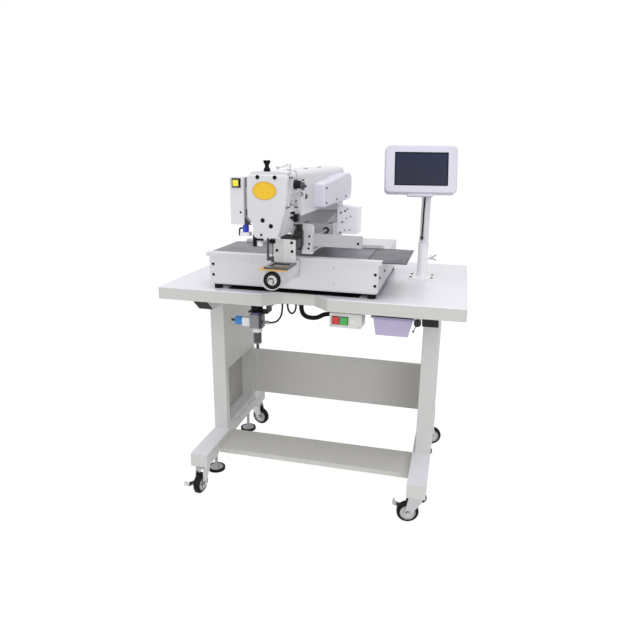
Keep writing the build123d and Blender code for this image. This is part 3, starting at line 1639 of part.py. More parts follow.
# Hand pulley behind the arm
with BuildPart() as hand_pulley:
    pulley_radius = pulley_diameter / 2
    web_start = (pulley_width - pulley_web) / 2
    turned(
        (machine_x, arm_rear + running_gap, shaft_z),
        (0, 1, 0),
        (
            (0, -main_shaft_length),
            (main_shaft / 2, -main_shaft_length),
            (main_shaft / 2, 0),
            (pulley_hub / 2, 0),
            (pulley_hub / 2, web_start),
            (pulley_radius - pulley_rim, web_start),
            (pulley_radius - pulley_rim, 0),
            (pulley_radius, 0),
            (pulley_radius, pulley_width),
            (pulley_radius - pulley_rim, pulley_width),
            (pulley_radius - pulley_rim, web_start + pulley_web),
            (pulley_hub / 2, web_start + pulley_web),
            (pulley_hub / 2, pulley_width),
            (0, pulley_width),
        ),
    )
save(hand_pulley, "hand_pulley")
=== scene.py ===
"""The looks of a programmable lockstitch sewing machine on its stand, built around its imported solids.

Finishes measure places in metres, as the solids do. Pieces are drawn in millimetres.
"""
import json
import math

import bmesh
import bpy
from mathutils import Matrix, Vector


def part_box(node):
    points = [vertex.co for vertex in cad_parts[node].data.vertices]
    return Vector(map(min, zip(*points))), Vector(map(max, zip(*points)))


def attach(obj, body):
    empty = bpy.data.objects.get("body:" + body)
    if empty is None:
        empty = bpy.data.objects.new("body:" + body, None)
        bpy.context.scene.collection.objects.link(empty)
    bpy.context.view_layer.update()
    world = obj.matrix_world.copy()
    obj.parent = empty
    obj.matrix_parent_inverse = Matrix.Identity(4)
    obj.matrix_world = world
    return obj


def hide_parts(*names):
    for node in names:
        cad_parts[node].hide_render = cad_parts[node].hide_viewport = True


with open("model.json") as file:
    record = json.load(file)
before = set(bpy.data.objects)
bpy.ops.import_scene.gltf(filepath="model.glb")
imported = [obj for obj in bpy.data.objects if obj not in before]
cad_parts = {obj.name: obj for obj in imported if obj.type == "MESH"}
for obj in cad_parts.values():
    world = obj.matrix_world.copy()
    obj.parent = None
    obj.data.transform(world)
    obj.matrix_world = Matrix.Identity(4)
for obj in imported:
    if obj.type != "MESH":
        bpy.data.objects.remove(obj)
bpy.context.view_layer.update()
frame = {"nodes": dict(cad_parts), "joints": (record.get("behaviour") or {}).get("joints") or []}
nodes = frame["nodes"]
scene = bpy.context.scene

MM = 0.001  # a millimetre in metres
# How softly one colour gives way to the next: in metres by place, and where a surface turns
CRISP, EDGE, MILD, SOFT = 0.0003, 0.0004, 0.0005, 0.0006
TURN = 0.2


def fill(tree, node, inputs):
    """Sets or links the sockets of a node."""
    for key, given in inputs.items():
        given = given.socket if isinstance(given, Value) else given
        if isinstance(given, bpy.types.NodeSocket):
            tree.links.new(given, node.inputs[key])
        else:
            node.inputs[key].default_value = given


def add_node(tree, kind, settings=None, inputs=None):
    """Adds a node, with its settings first and then the values or links of its sockets."""
    made = tree.nodes.new(kind)
    for key, setting in (settings or {}).items():
        setattr(made, key, setting)
    fill(tree, made, inputs or {})
    return made


class Value:
    """A number that changes over a surface. Python's operators on it add Math nodes."""

    def __init__(self, finish, socket):
        self.finish = finish
        self.socket = socket

    def _math(self, operation, first, second, clamp=False):
        settings = {"operation": operation, "use_clamp": clamp}
        made = self.finish.node("ShaderNodeMath", settings, {0: first, 1: second})
        return Value(self.finish, made.outputs[0])

    def __add__(self, other):
        return self._math("ADD", self, other)

    def __radd__(self, other):
        return self._math("ADD", other, self)

    def __sub__(self, other):
        return self._math("SUBTRACT", self, other)

    def __rsub__(self, other):
        return self._math("SUBTRACT", other, self)

    def __mul__(self, other):
        return self._math("MULTIPLY", self, other)

    def __truediv__(self, other):
        return self._math("DIVIDE", self, other)

    def __pow__(self, other):
        return self._math("POWER", self, other)

    def size(self):
        """The value without its sign."""
        return self._math("ABSOLUTE", self, 0.0)

    def above(self, edge, soft=EDGE):
        """0 below an edge and 1 above it, with a soft step between them."""
        return self._math("ADD", (self - edge) / soft, 0.5, clamp=True)

    def below(self, edge, soft=EDGE):
        return self._math("SUBTRACT", 0.5, (self - edge) / soft, clamp=True)

    def within(self, low, high, soft=EDGE):
        return self.above(low, soft) * self.below(high, soft)


class Finish:
    """A procedural material: a Principled shader and the nodes that feed it."""

    def __init__(self, name, **constants):
        self.material = bpy.data.materials.new(name)
        self.material.use_nodes = True
        self.tree = self.material.node_tree
        self.tree.nodes.clear()
        self.shader = self.node("ShaderNodeBsdfPrincipled", None, constants)
        self.node("ShaderNodeOutputMaterial", None, {"Surface": self.shader.outputs[0]})
        coords = self.node("ShaderNodeTexCoord")
        self.place = coords.outputs["Object"]
        split = self.node("ShaderNodeSeparateXYZ", None, {0: self.place})
        self.x, self.y, self.z = (Value(self, socket) for socket in split.outputs)
        facing = self.node("ShaderNodeSeparateXYZ", None, {0: coords.outputs["Normal"]})
        self.face_x, self.face_y, self.face_z = (Value(self, socket) for socket in facing.outputs)

    def node(self, kind, settings=None, inputs=None):
        return add_node(self.tree, kind, settings, inputs)

    def vector(self, operation, *given):
        """The outputs of a Vector Math node."""
        return self.node("ShaderNodeVectorMath", {"operation": operation}, dict(enumerate(given))).outputs

    def noise(self, scale, detail=2.0, stretch=(1.0, 1.0, 1.0)):
        spread = self.vector("MULTIPLY", self.place, stretch)[0]
        made = self.node("ShaderNodeTexNoise", None, {"Vector": spread, "Scale": scale, "Detail": detail})
        return Value(self, made.outputs[0])

    def mix(self, share, first, second):
        """A colour between two colours."""
        colours = [(*c, 1.0) if isinstance(c, tuple) and len(c) == 3 else c for c in (first, second)]
        inputs = {0: share, 6: colours[0], 7: colours[1]}
        return self.node("ShaderNodeMix", {"data_type": "RGBA"}, inputs).outputs[2]

    def uneven(self, share, colour, low, high):
        """Two shades of a colour, mixed."""
        return self.mix(share, shade(colour, low), shade(colour, high))

    def repaint(self, regions, base, roughness, rough, *shades):
        """Lays regions over a base colour and its roughness, in two shades of their own colour."""
        cloud, low, high = shades
        for mask, colour, other_rough in regions:
            share = mask(self)
            base = self.mix(share, base, self.uneven(cloud, colour, low, high))
            roughness = roughness + share * (other_rough - rough)
        return base, roughness

    def distance(self, point):
        """How far a place is from a point, in metres."""
        away = self.vector("SUBTRACT", self.place, point)[0]
        return Value(self, self.vector("LENGTH", away)["Value"])

    def along(self, point, direction):
        """How far a place is from a point along a direction, in metres."""
        away = self.vector("SUBTRACT", self.place, point)[0]
        return Value(self, self.vector("DOT_PRODUCT", away, direction)["Value"])

    def feed(self, colour, rough, metal=None, height=None, depth=0.0002):
        """Links what changes over the surface to the shader."""
        links = {"Base Color": colour, "Roughness": rough}
        if metal is not None:
            links["Metallic"] = metal
        if height is not None:
            bump = self.node("ShaderNodeBump", None, {"Strength": 0.5, "Distance": depth, "Height": height})
            links["Normal"] = bump.outputs[0]
        fill(self.tree, self.shader, links)
        return self


def tone(red, green, blue):
    """A colour as a monitor shows it, from 0 to 255, in the linear values that shaders take."""
    shown = (c / 255 for c in (red, green, blue))
    return tuple(((c + 0.055) / 1.055) ** 2.4 if c > 0.04045 else c / 12.92 for c in shown)


def shade(colour, share):
    return tuple(c * share for c in colour)


# Finishes. Regions repaint parts of a finish: each has a mask by place, a colour and a roughness,
# and on metal also how metallic it is.
DARK_SHINE = 0.1  # black finishes are duller than pale ones
SHINE = 0.5


def paint(name, colour, rough=0.38, peel=700.0, coat=0.15, shine=SHINE, regions=()):
    """Enamel on metal or moulded plastic, with faint clouds, fine peel and dust."""
    made = Finish(name, **{"Coat Weight": coat, "Coat Roughness": 0.25, "Specular IOR Level": shine})
    cloud = made.noise(5.0, 3.0).above(0.5, 0.5)
    mottle = made.noise(60.0)
    base = made.uneven(cloud, colour, 0.955, 1.02)
    base = made.mix(mottle.above(0.66, 0.14) * 0.25, base, shade(colour, 0.90))
    roughness = rough + (mottle - 0.5) * 0.12
    base, roughness = made.repaint(regions, base, roughness, rough, cloud, 0.93, 1.03)
    return made.feed(base, roughness, height=made.noise(peel), depth=0.00012)


def metal(name, colour, rough=0.3, grain=(1.0, 1.0, 14.0), stain=0.25, regions=()):
    """Plated or ground steel with a directional grain and light staining."""
    made = Finish(name, Metallic=1.0)
    streak = made.noise(220.0, 3.0, grain)
    cloud = made.noise(14.0, 4.0)
    base = made.uneven(streak, colour, 0.84, 1.06)
    base = made.mix(cloud.above(0.62, 0.2) * stain, base, shade(colour, 0.62))
    roughness = rough + (streak - 0.5) * 0.18 + cloud.above(0.6, 0.3) * 0.08
    metallic = 1.0 - cloud * 0.04
    for mask, other, other_rough, other_metal in regions:
        share = mask(made)
        base = made.mix(share, base, other)
        roughness = roughness + share * (other_rough - rough)
        metallic = metallic + share * (other_metal - 0.98)
    return made.feed(base, roughness, metallic, height=streak, depth=0.00005)


def plastic(name, colour, rough=0.45, texture=420.0, depth=0.0001, coat=0.0, shine=SHINE, regions=()):
    """Moulded plastic with a fine spark texture."""
    made = Finish(name, **{"Coat Weight": coat, "Coat Roughness": 0.1, "Specular IOR Level": shine})
    spark = made.noise(texture, 3.0)
    cloud = made.noise(9.0)
    base = made.uneven(cloud, colour, 0.92, 1.06)
    base = made.mix(spark.above(0.62, 0.1) * 0.3, base, shade(colour, 1.15))
    roughness = rough + (spark - 0.5) * 0.15
    base, roughness = made.repaint(regions, base, roughness, rough, cloud, 0.92, 1.06)
    return made.feed(base, roughness, height=spark, depth=depth)


def rubber(name, colour, regions=()):
    """Rubber with dust worn into it."""
    rough = 0.62
    made = Finish(name, **{"Specular IOR Level": DARK_SHINE})
    dust = made.noise(45.0, 4.0)
    grit = made.noise(900.0)
    base = made.mix(dust.above(0.58, 0.25) * 0.35, colour, shade(colour, 2.4))
    roughness = rough + (dust - 0.5) * 0.3
    base, roughness = made.repaint(regions, base, roughness, rough, dust, 0.9, 1.05)
    return made.feed(base, roughness, height=grit, depth=0.00015)


WHITE_ENAMEL = tone(216, 216, 219)
STAND_GREY = tone(214, 213, 210)
SHEET_GREY = tone(211, 209, 203)
LAVENDER_WHITE = tone(209, 206, 219)
LAVENDER = tone(186, 176, 206)
BLACK = tone(18, 18, 20)
SOOT = tone(44, 44, 47)
RUBBER_BLACK = tone(20, 20, 21)
STEEL = tone(190, 190, 192)
ZINC = tone(196, 197, 199)
BLUE = tone(56, 136, 206)
COBALT = tone(38, 56, 190)
VIOLET = tone(110, 92, 160)
AMBER = tone(220, 178, 112)
GOLD = tone(238, 192, 18)
GOLD_RIM = tone(206, 160, 40)

POWDER = {"rough": 0.5, "peel": 420.0, "coat": 0.0}
BLUED = {"rough": 0.3, "grain": (1.0, 16.0, 1.0), "stain": 0.35}
GLOSSY = {"rough": 0.25, "coat": 0.4, "depth": 0.00003}

enamel = paint("white_enamel", WHITE_ENAMEL)
sheet_coat = paint("sheet_paint", SHEET_GREY, **POWDER)
post_coat = paint("post_paint", tone(243, 242, 245), rough=0.42)
zinc = metal("zinc_plate", ZINC, rough=0.34)
steel = metal("ground_steel", STEEL, rough=0.26)
bar_steel = metal("bar_steel", tone(84, 84, 88), rough=0.28)
dark_steel = metal("blued_steel", tone(104, 101, 116), **BLUED)
black_plastic = plastic("black_plastic", BLACK, shine=DARK_SHINE)
black_steel = paint("black_steel", tone(20, 20, 22), rough=0.42, coat=0.0, shine=DARK_SHINE)
black_rubber = rubber("black_rubber", RUBBER_BLACK)
cord_rubber = rubber("cord_sheath", BLACK)
hose_rubber = rubber("hose_sheath", tone(22, 22, 25))
white_nylon = plastic("white_nylon", tone(226, 226, 228), rough=0.4)
blue_plastic = plastic("blue_plastic", BLUE, rough=0.3)


def table_laminate():
    """Laminate: a cool white top with fine specks, and a warmer edge band round it."""
    made = Finish("table_laminate", **{"Coat Weight": 0.1, "Coat Roughness": 0.3})
    speck = made.noise(420.0, 3.0)
    cloud = made.noise(4.0, 3.0)
    top = made.mix(speck.above(0.55, 0.2), tone(226, 224, 232), tone(233, 232, 238))
    top = made.mix(cloud.above(0.56, 0.3) * 0.4, top, tone(219, 217, 227))
    band = made.mix(made.noise(160.0, 3.0, (1.0, 1.0, 0.15)), tone(203, 203, 198), tone(206, 206, 201))
    flat = made.face_z.above(0.5, TURN)
    seam = made.z.within(0.7674, 0.7684)
    colour = made.mix(flat, band, top)
    colour = made.mix(seam * 0.35, colour, tone(150, 150, 146))
    return made.feed(colour, 0.42 - flat * 0.1 + (speck - 0.5) * 0.1, height=speck, depth=0.00008)


def wheel_finish(corner, centre, axle):
    """A caster wheel: black tread, pale core and zinc hub, split by distance from the axle."""
    core_radius, hub_radius = 0.0262, 0.0121
    made = Finish("caster_wheel_" + corner, **{"Specular IOR Level": DARK_SHINE})
    away = made.distance(centre)
    side = made.along(centre, axle)
    radius = (away * away - side * side).size() ** 0.5
    grit = made.noise(700.0, 3.0)
    dust = made.noise(60.0, 4.0)
    tread = made.mix(dust.above(0.55, 0.3) * 0.4, tone(22, 22, 23), tone(58, 56, 54))
    core = made.mix(dust, tone(206, 206, 204), tone(222, 222, 220))
    colour = made.mix(radius.below(core_radius, SOFT), tread, core)
    colour = made.mix(radius.below(hub_radius, MILD), colour, tone(150, 150, 152))
    return made.feed(colour, 0.55 + (dust - 0.5) * 0.25, height=grit, depth=0.00012)


def air_regulator():
    """Regulator: grey body with a dark port, violet band, white valve, blue coupling and a black tip."""
    band, cap = 0.6893, 0.6975
    valve, coupling, tip = -0.1935, -0.2212, -0.2468
    port, fitting = -0.1600, -0.1507
    regions = (
        (lambda f: f.z.above(band, MILD), VIOLET, 0.4),
        (lambda f: f.z.above(cap, MILD), BLACK, 0.4),
        (lambda f: f.x.below(valve, SOFT), tone(228, 228, 230), 0.35),
        (lambda f: f.x.below(coupling, MILD), BLUE, 0.3),
        (lambda f: f.x.below(tip, MILD), BLACK, 0.35),
        (lambda f: f.x.above(port, MILD) * f.z.below(band, MILD), SOOT, 0.35),
        (lambda f: f.x.above(fitting, MILD), tone(150, 152, 156), 0.3),
    )
    return plastic("air_regulator", tone(132, 132, 137), rough=0.4, regions=regions)


def smoked_bowl():
    """Filter bowl: a pale collar, smoked wall, clearer foot, black drain and its grey tube."""
    collar, foot, drain, tube = 0.6271, 0.5905, 0.5812, 0.5668
    regions = (
        (lambda f: f.z.above(collar, MILD), tone(224, 224, 226), 0.35),
        (lambda f: f.z.below(foot, 0.003), tone(120, 122, 128), 0.12),
        (lambda f: f.z.below(drain, SOFT), BLACK, 0.4),
        (lambda f: f.z.below(tube, SOFT), tone(150, 152, 158), 0.25),
    )
    return plastic("smoked_bowl", tone(46, 47, 52), rough=0.14, depth=0.00002, coat=0.5, regions=regions)


def dark_screen():
    """A screen that is off: deep navy glass with a faint painted sheen and dust."""
    middle, sheen_way = (0.313, 0.108, 1.152), (0.35, 0.0, 0.94)
    made = Finish("panel_screen", **{"Specular IOR Level": 0.14})
    # Painted sheen: the glass colour grows lighter along one direction across the screen
    painted_sheen = made.along(middle, sheen_way)
    dust = made.noise(900.0)
    glow = made.mix((painted_sheen * 9.0 + 0.5).above(0.5, 1.4), tone(17, 22, 43), tone(27, 34, 64))
    colour = made.mix(dust.above(0.72, 0.1) * 0.2, glow, tone(96, 102, 120))
    return made.feed(colour, 0.2 + dust * 0.06)


def amber_plate():
    """Throat plate: amber plating, worn bright round the needle, with its slot painted dark on the top face as
    painted shade.
    """
    needle = (-0.048, -0.409, 0.8895)
    made = Finish("amber_plate", Metallic=0.75)
    streak = made.noise(240.0, 3.0, (1.0, 10.0, 1.0))
    wear = made.distance(needle).below(0.016, 0.012)
    base = made.uneven(streak, AMBER, 0.85, 1.08)
    base = made.mix(wear * 0.6, base, tone(222, 198, 150))
    # Painted shade: a dark slot on the top face stands for the opening's shade
    slot = made.x.within(-0.066, -0.022, SOFT) * made.y.within(-0.4235, -0.4175, SOFT)
    base = made.mix(slot * made.face_z.above(0.5, TURN), base, tone(50, 38, 24))
    return made.feed(base, 0.3 + streak * 0.12, height=streak, depth=0.00005)


HOOK_X, HOOK_Z = -0.044, 0.857


def off_axis(across, beside):
    """The square of the distance from an axis, from the offsets across it."""
    return across * across + beside * beside


def hook_rim(made):
    """The rotary hook outside its bobbin case."""
    return off_axis(made.x - HOOK_X, made.z - HOOK_Z).above(0.0145**2, 0.00002)


def pad_dome(made, y):
    """The zinc domes of the two levelling feet at a y."""
    return off_axis(made.x.size() - 0.388, made.y - y).below(0.0255**2, 0.00003)


def shaded_column_front(made):
    """The front of the column under the arm, painted a darker grey for the arm's cast shadow."""
    return made.y.above(0.2090) * made.face_y.below(-0.6, TURN) * made.z.below(1.02, 0.01)


def air_cylinder(made):
    """The air cylinder on the feed arm, with its block."""
    return made.x.below(-0.0206) * made.y.below(-0.2)


def leg_coat(name, side):
    """Powder coat of a leg, with painted shade on the inward faces of its recess and painted light on the top
    of its foot.
    """

    # Painted shade on the inward faces of the recess
    def shaded_recess(made):
        return (made.x * side).above(0.4135, SOFT) * (made.face_x * side).below(-0.5, TURN)

    # Painted light on the upward faces of the foot
    def lit_foot_top(made):
        return made.face_z.above(0.7, TURN) * made.z.below(0.24, 0.01)

    regions = ((shaded_recess, tone(176, 174, 168), 0.55), (lit_foot_top, tone(235, 234, 240), 0.45))
    return paint(name, STAND_GREY, regions=regions, **POWDER)


def halt_finish():
    """Square push button: a yellow face in a black cap."""
    face_y, middle_x, middle_z = -0.4456, -0.139, 1.123
    masks = (
        lambda f: f.y.above(face_y, CRISP),
        lambda f: (f.x - middle_x).size().above(0.0079),
        lambda f: (f.z - middle_z).size().above(0.0081),
    )
    regions = [(mask, BLACK, 0.35) for mask in masks]
    return plastic("halt_button_yellow", tone(246, 230, 60), regions=regions, **GLOSSY)


def part_painted(name, colour, *regions, rough=0.4, coat=0.1):
    """Paint with some parts in other colours."""
    return paint(name, colour, rough=rough, coat=coat, regions=regions)


# Where finishes change on the solids, in metres
SEAM_X, WING_X, WING_REAR = (0.1867, 0.1894), 0.188, 0.0375
PAD_Y = (-0.102, 0.246)
LOCK_KNOB = (0.357, -0.2418, 0.710)
FITTING_TOP, BLOCK_TOP = 1.0108, 1.0345
dress = {
    "tabletop": table_laminate(),
    "left_leg": leg_coat("left_leg_coat", -1.0),
    "right_leg": leg_coat("right_leg_coat", 1.0),
    "lower_tray": sheet_coat,
    "rear_panel": sheet_coat,
    "rail_end_plugs": black_plastic,
    "regulator_knob": black_plastic,
    "cable_grommets": black_plastic,
    "wing_screw": zinc,
    "air_bracket": black_steel,
    "hook_ring": black_steel,
    "base_feet": black_rubber,
    "regulator_body": air_regulator(),
    "filter_bowl": smoked_bowl(),
    "drawer_runners": zinc,
    "drawer": plastic(
        "lavender_drawer",
        LAVENDER,
        rough=0.42,
        regions=[(lambda f: f.z.above(0.7125, 0.001), tone(160, 150, 184), 0.5)],
    ),
    "stop_button": plastic("stop_button_red", tone(206, 42, 40), **GLOSSY),
    "start_button": plastic("start_button_green", tone(58, 172, 74), **GLOSSY),
    "halt_button": halt_finish(),
    "post_socket": post_coat,
    "post": part_painted(
        "post_and_clip",
        tone(225, 224, 227),
        (lambda f: f.y.below(0.1385) * f.z.below(0.93, 0.001), BLACK, 0.4),
    ),
    "panel_bracket": post_coat,
    "panel_housing": plastic("panel_housing", LAVENDER_WHITE, rough=0.42, texture=520.0),
    "panel_screen": dark_screen(),
    "front_cover": paint("front_cover_enamel", tone(219, 219, 221)),
    "face_cover": enamel,
    "slide_covers": metal(
        "blued_plates",
        tone(98, 95, 110),
        regions=[
            (lambda f: f.x.above(WING_X, SOFT), tone(82, 79, 93), 0.34, 1.0),
            (lambda f: f.x.within(*SEAM_X, SOFT), tone(30, 30, 33), 0.5, 0.3),
            (lambda f: f.x.above(WING_X, SOFT) * f.y.above(WING_REAR, SOFT), tone(22, 22, 24), 0.5, 0.1),
        ],
        **BLUED,
    ),
    "throat_plate": amber_plate(),
    "shuttle_hook": metal("shuttle_steel", STEEL, rough=0.26, regions=[(hook_rim, tone(16, 16, 18), 0.4, 0.1)]),
    "needle_bar": bar_steel,
    "presser_foot": bar_steel,
    "take_up_lever": steel,
    "hand_pulley": metal("turned_aluminium", tone(176, 176, 178), rough=0.32, grain=(1.0, 12.0, 1.0)),
    "presser_knob": black_plastic,
    "tension_knob": metal("tension_knob", tone(60, 60, 64), rough=0.3),
    "motor_cover": paint("motor_cover_paint", tone(216, 214, 226), rough=0.4),
    "valve_box": paint("valve_box_enamel", tone(248, 247, 252)),
    "arm_casting": part_painted(
        "arm_enamel",
        WHITE_ENAMEL,
        (lambda f: f.y.within(-0.4305, -0.4265, MILD) * f.face_x.above(0.6, TURN), SOOT, 0.5),
        # Painted shadow of the arm on the column's front, and a lighter painted lit part below its diagonal
        # edge
        (shaded_column_front, tone(158, 158, 162), 0.5),
        (lambda f: shaded_column_front(f) * (f.z - f.x).below(0.9885, 0.003), tone(194, 195, 199), 0.5),
        rough=0.38,
        coat=0.15,
    ),
    "bed_base": enamel,
    "x_carriage": part_painted(
        "carriage_paint",
        tone(196, 196, 198),
        (lambda f: f.y.below(0.0238), BLACK, 0.4),
        (lambda f: f.y.above(0.0862), BLACK, 0.4),
    ),
    "work_clamp": part_painted(
        "clamp_paint",
        tone(224, 224, 226),
        (lambda f: f.z.below(0.8972), tone(70, 69, 76), 0.3),
        (lambda f: f.y.above(-0.3505, SOFT), tone(44, 44, 46), 0.4),
    ),
    "feed_arm": part_painted(
        "feed_arm_paint",
        WHITE_ENAMEL,
        (lambda f: f.y.above(-0.1085, SOFT), tone(150, 150, 152), 0.22),
        (lambda f: f.z.below(0.9165) * f.y.within(-0.2245, -0.1295), tone(168, 168, 172), 0.25),
        (lambda f: f.x.above(0.0264) * f.y.below(-0.2296), tone(188, 188, 191), 0.45),
        (lambda f: f.y.below(-0.2503), BLACK, 0.4),
        (air_cylinder, BLACK, 0.4),
        (lambda f: air_cylinder(f) * f.z.above(0.9633), STEEL, 0.25),
    ),
    "side_box": part_painted(
        "side_box_paint",
        tone(222, 222, 224),
        # Painted shade on the box's right side, above the black block
        (
            lambda f: f.face_x.above(0.7, TURN) * f.z.above(BLOCK_TOP) * f.y.above(-0.424, 0.004),
            tone(80, 80, 84),
            0.5,
        ),
        (lambda f: f.y.below(-0.4392, CRISP), BLACK, 0.4),
        (lambda f: f.x.above(-0.1187, CRISP) * f.z.within(FITTING_TOP, BLOCK_TOP), BLACK, 0.4),
        (lambda f: f.z.below(FITTING_TOP), COBALT, 0.3),
        (lambda f: f.z.below(0.9902), tone(230, 230, 232), 0.4),
    ),
    "switch_box": part_painted(
        "switch_box_plastic",
        tone(220, 220, 216),
        # Dark top flange: its black mounting bracket, with painted shade of the gap under the table
        (lambda f: f.z.above(0.7222, MILD), tone(40, 38, 36), 0.5),
        (lambda f: f.x.above(0.1852), tone(170, 170, 170), 0.3),
        (lambda f: f.y.below(-0.2392, CRISP), tone(232, 230, 224), 0.3),
    ),
    "lock_knob": plastic(
        "lock_knob_plastic",
        BLACK,
        regions=[(lambda f: f.distance(LOCK_KNOB).within(0.0128, 0.0262), tone(176, 176, 178), 0.25)],
    ),
    "levelling_feet": rubber(
        "levelling_feet_zinc_and_rubber",
        RUBBER_BLACK,
        regions=[(lambda f, y=y: pad_dome(f, y), tone(188, 189, 192), 0.3) for y in PAD_Y],
    ),
}
SPIN = "_wheel_spin"
spins = [joint for joint in frame["joints"] if joint["name"].endswith(SPIN)]
wheels = {joint["name"].removesuffix(SPIN): joint for joint in spins}
for corner, joint in wheels.items():
    dress["caster_wheel_" + corner] = wheel_finish(corner, tuple(joint["pos_m"]), tuple(joint["axis"]))
    dress["caster_fork_" + corner] = zinc
    if corner.startswith("front"):
        dress["brake_pedal_" + corner] = zinc
for name, finish in dress.items():
    nodes[name].material_slots[0].material = finish.material


# Forms that pieces are drawn from
SHARP = math.radians(35.0)  # edges that turn by more than this stay crisp
SUNK = 0.4  # how deep a turned piece sits in its seat
CORNERS = ((-1, -1), (1, -1), (1, 1), (-1, 1))


def ring(drawing, middle, across, beside, radius, sides, hexagon=False):
    """Adds points round a middle, on a circle or a hexagon."""
    points = []
    for step in range(sides):
        angle = 2 * math.pi * step / sides
        reach = radius
        if hexagon:
            turn = (angle % (math.pi / 3)) - math.pi / 6
            reach = radius * math.cos(math.pi / 6) / math.cos(turn)
        way = math.cos(angle) * across + math.sin(angle) * beside
        points.append(drawing.verts.new(middle + reach * way))
    return points


def skin(drawing, *rings):
    """Adds faces from each ring of points to the next; a ring of one point is a tip."""
    for first, second in zip(rings, rings[1:]):
        sides = max(len(first), len(second))
        for step in range(sides):
            after = (step + 1) % sides
            if len(first) == 1:
                drawing.faces.new((first[0], second[step], second[after]))
            elif len(second) == 1:
                drawing.faces.new((first[step], first[after], second[0]))
            else:
                drawing.faces.new((first[step], first[after], second[after], second[step]))


def turned(drawing, place, axis, profile, sides=32, hexagon=()):
    """Adds a turned form from pairs of radius and distance along its axis; rings in hexagon are six-sided."""
    along = Vector(axis).normalized()
    across = along.orthogonal().normalized()
    beside = along.cross(across)
    rings = []
    for number, (radius, distance) in enumerate(profile):
        middle = Vector(place) + along * distance
        points = sides if radius else 1
        rings.append(ring(drawing, middle, across, beside, radius, points, number in hexagon))
    skin(drawing, *rings)


def seated(*profile):
    """A turned profile that goes straight down into its seat."""
    return (*profile, (profile[-1][0], -SUNK), (0, -SUNK))


def socket_screw(drawing, place, axis, radius, height):
    """Adds a screw with a rounded head and a hexagon socket."""
    bevel, floor, socket = 0.25 * height, 0.35 * height, 0.5 * radius
    hole = ((0, floor), (socket, floor), (socket, height))
    rounding = ((1.6, 0.0), (0.5, 0.4), (0.0, 1.2))
    head = [(radius - a * bevel, height - b * bevel) for a, b in rounding]
    turned(drawing, place, axis, seated(*hole, *head), sides=24, hexagon=(1, 2))


def bolt(drawing, place, axis, radius, height):
    """Adds a hexagon bolt head on a washer."""
    wide, rise, top = 1.35 * radius, 0.3 * height, 1.12 * height
    washer = ((0, -0.3), (wide, -0.3), (wide, rise))
    head = ((radius, rise), (radius, height), (0.82 * radius, top), (0, top))
    turned(drawing, place, axis, washer + head, sides=24, hexagon=(3, 4))


def slab(drawing, low, high, bevel):
    """Adds a block between two corners, with its edges rounded."""
    made = bmesh.ops.create_cube(drawing, size=1.0)
    size = [b - a for a, b in zip(low, high)]
    middle = [(a + b) / 2 for a, b in zip(low, high)]
    bmesh.ops.scale(drawing, vec=size, verts=made["verts"])
    bmesh.ops.translate(drawing, vec=middle, verts=made["verts"])
    edges = {edge for vert in made["verts"] for edge in vert.link_edges}
    bmesh.ops.bevel(drawing, geom=list(edges), offset=bevel, segments=2, affect="EDGES", profile=0.5)


def loop(drawing, outline, origin, face, lift=0.0):
    """Adds the points of an outline that lies on a face, lifted off it."""
    across, up = (Vector(way).normalized() for way in face)
    out = across.cross(up)
    return [drawing.verts.new(Vector(origin) + across * a + up * b + out * lift) for a, b in outline]


def cut_sheet(drawing, outline, origin, face, depth):
    """Adds a flat sheet cut to an outline on a face."""
    lower = loop(drawing, outline, origin, face)
    upper = loop(drawing, outline, origin, face, depth)
    drawing.faces.new(lower[::-1])
    drawing.faces.new(upper)
    skin(drawing, lower, upper)


def rim_sheet(drawing, outer, inner, origin, face, depth):
    """Adds a flat ring between two outlines with as many points, on a face."""
    sides = ((outer, 0.0), (outer, depth), (inner, depth), (inner, 0.0))
    loops = [loop(drawing, outline, origin, face, lift) for outline, lift in sides]
    skin(drawing, *loops, loops[0])


def rectangle(width, height):
    return [(a * width / 2, b * height / 2) for a, b in CORNERS]


def star(radius, depth, teeth):
    """The outline of a knurled grip."""
    points = []
    for step in range(4 * teeth):
        turn = math.pi * step / (2 * teeth)
        reach = radius if step % 4 < 2 else radius - depth
        points.append((reach * math.cos(turn), reach * math.sin(turn)))
    return points


def oval(half_width, half_height, sides=64):
    turns = [2 * math.pi * step / sides for step in range(sides)]
    return [(half_width * math.cos(turn), half_height * math.sin(turn)) for turn in turns]


def wire(drawing, points, radius, sides=10):
    """Adds a bent wire through points, with its corners softened."""
    path = [Vector(point) for point in points]
    for _ in range(3):
        softer = [path[0]]
        for first, second in zip(path, path[1:]):
            softer += [first.lerp(second, 0.25), first.lerp(second, 0.75)]
        path = softer + [path[-1]]
    rings = []
    across = (path[1] - path[0]).orthogonal().normalized()
    for number, point in enumerate(path):
        ahead = path[min(number + 1, len(path) - 1)] - path[max(number - 1, 0)]
        ahead.normalize()
        across = (across - ahead * across.dot(ahead)).normalized()
        rings.append(ring(drawing, point, across, ahead.cross(across), radius, sides))
    skin(drawing, *rings)
    drawing.faces.new(rings[0][::-1])
    drawing.faces.new(rings[-1])


def drawn(name, finish, *steps, body="stand", slot=None):
    """Makes a piece that rides on a body, from drawing steps: each is a form and what it takes."""
    drawing = bmesh.new()
    for form, *given in steps:
        form(drawing, *given)
    bmesh.ops.recalc_face_normals(drawing, faces=drawing.faces)
    mesh = bpy.data.meshes.new(name)
    drawing.to_mesh(mesh)
    drawing.free()
    mesh.transform(Matrix.Scale(MM, 4))
    mesh.polygons.foreach_set("use_smooth", [True] * len(mesh.polygons))
    mesh.set_sharp_from_angle(angle=SHARP)
    mesh.materials.append(finish.material)
    made = bpy.data.objects.new(name, mesh)
    scene.collection.objects.link(made)
    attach(made, body)


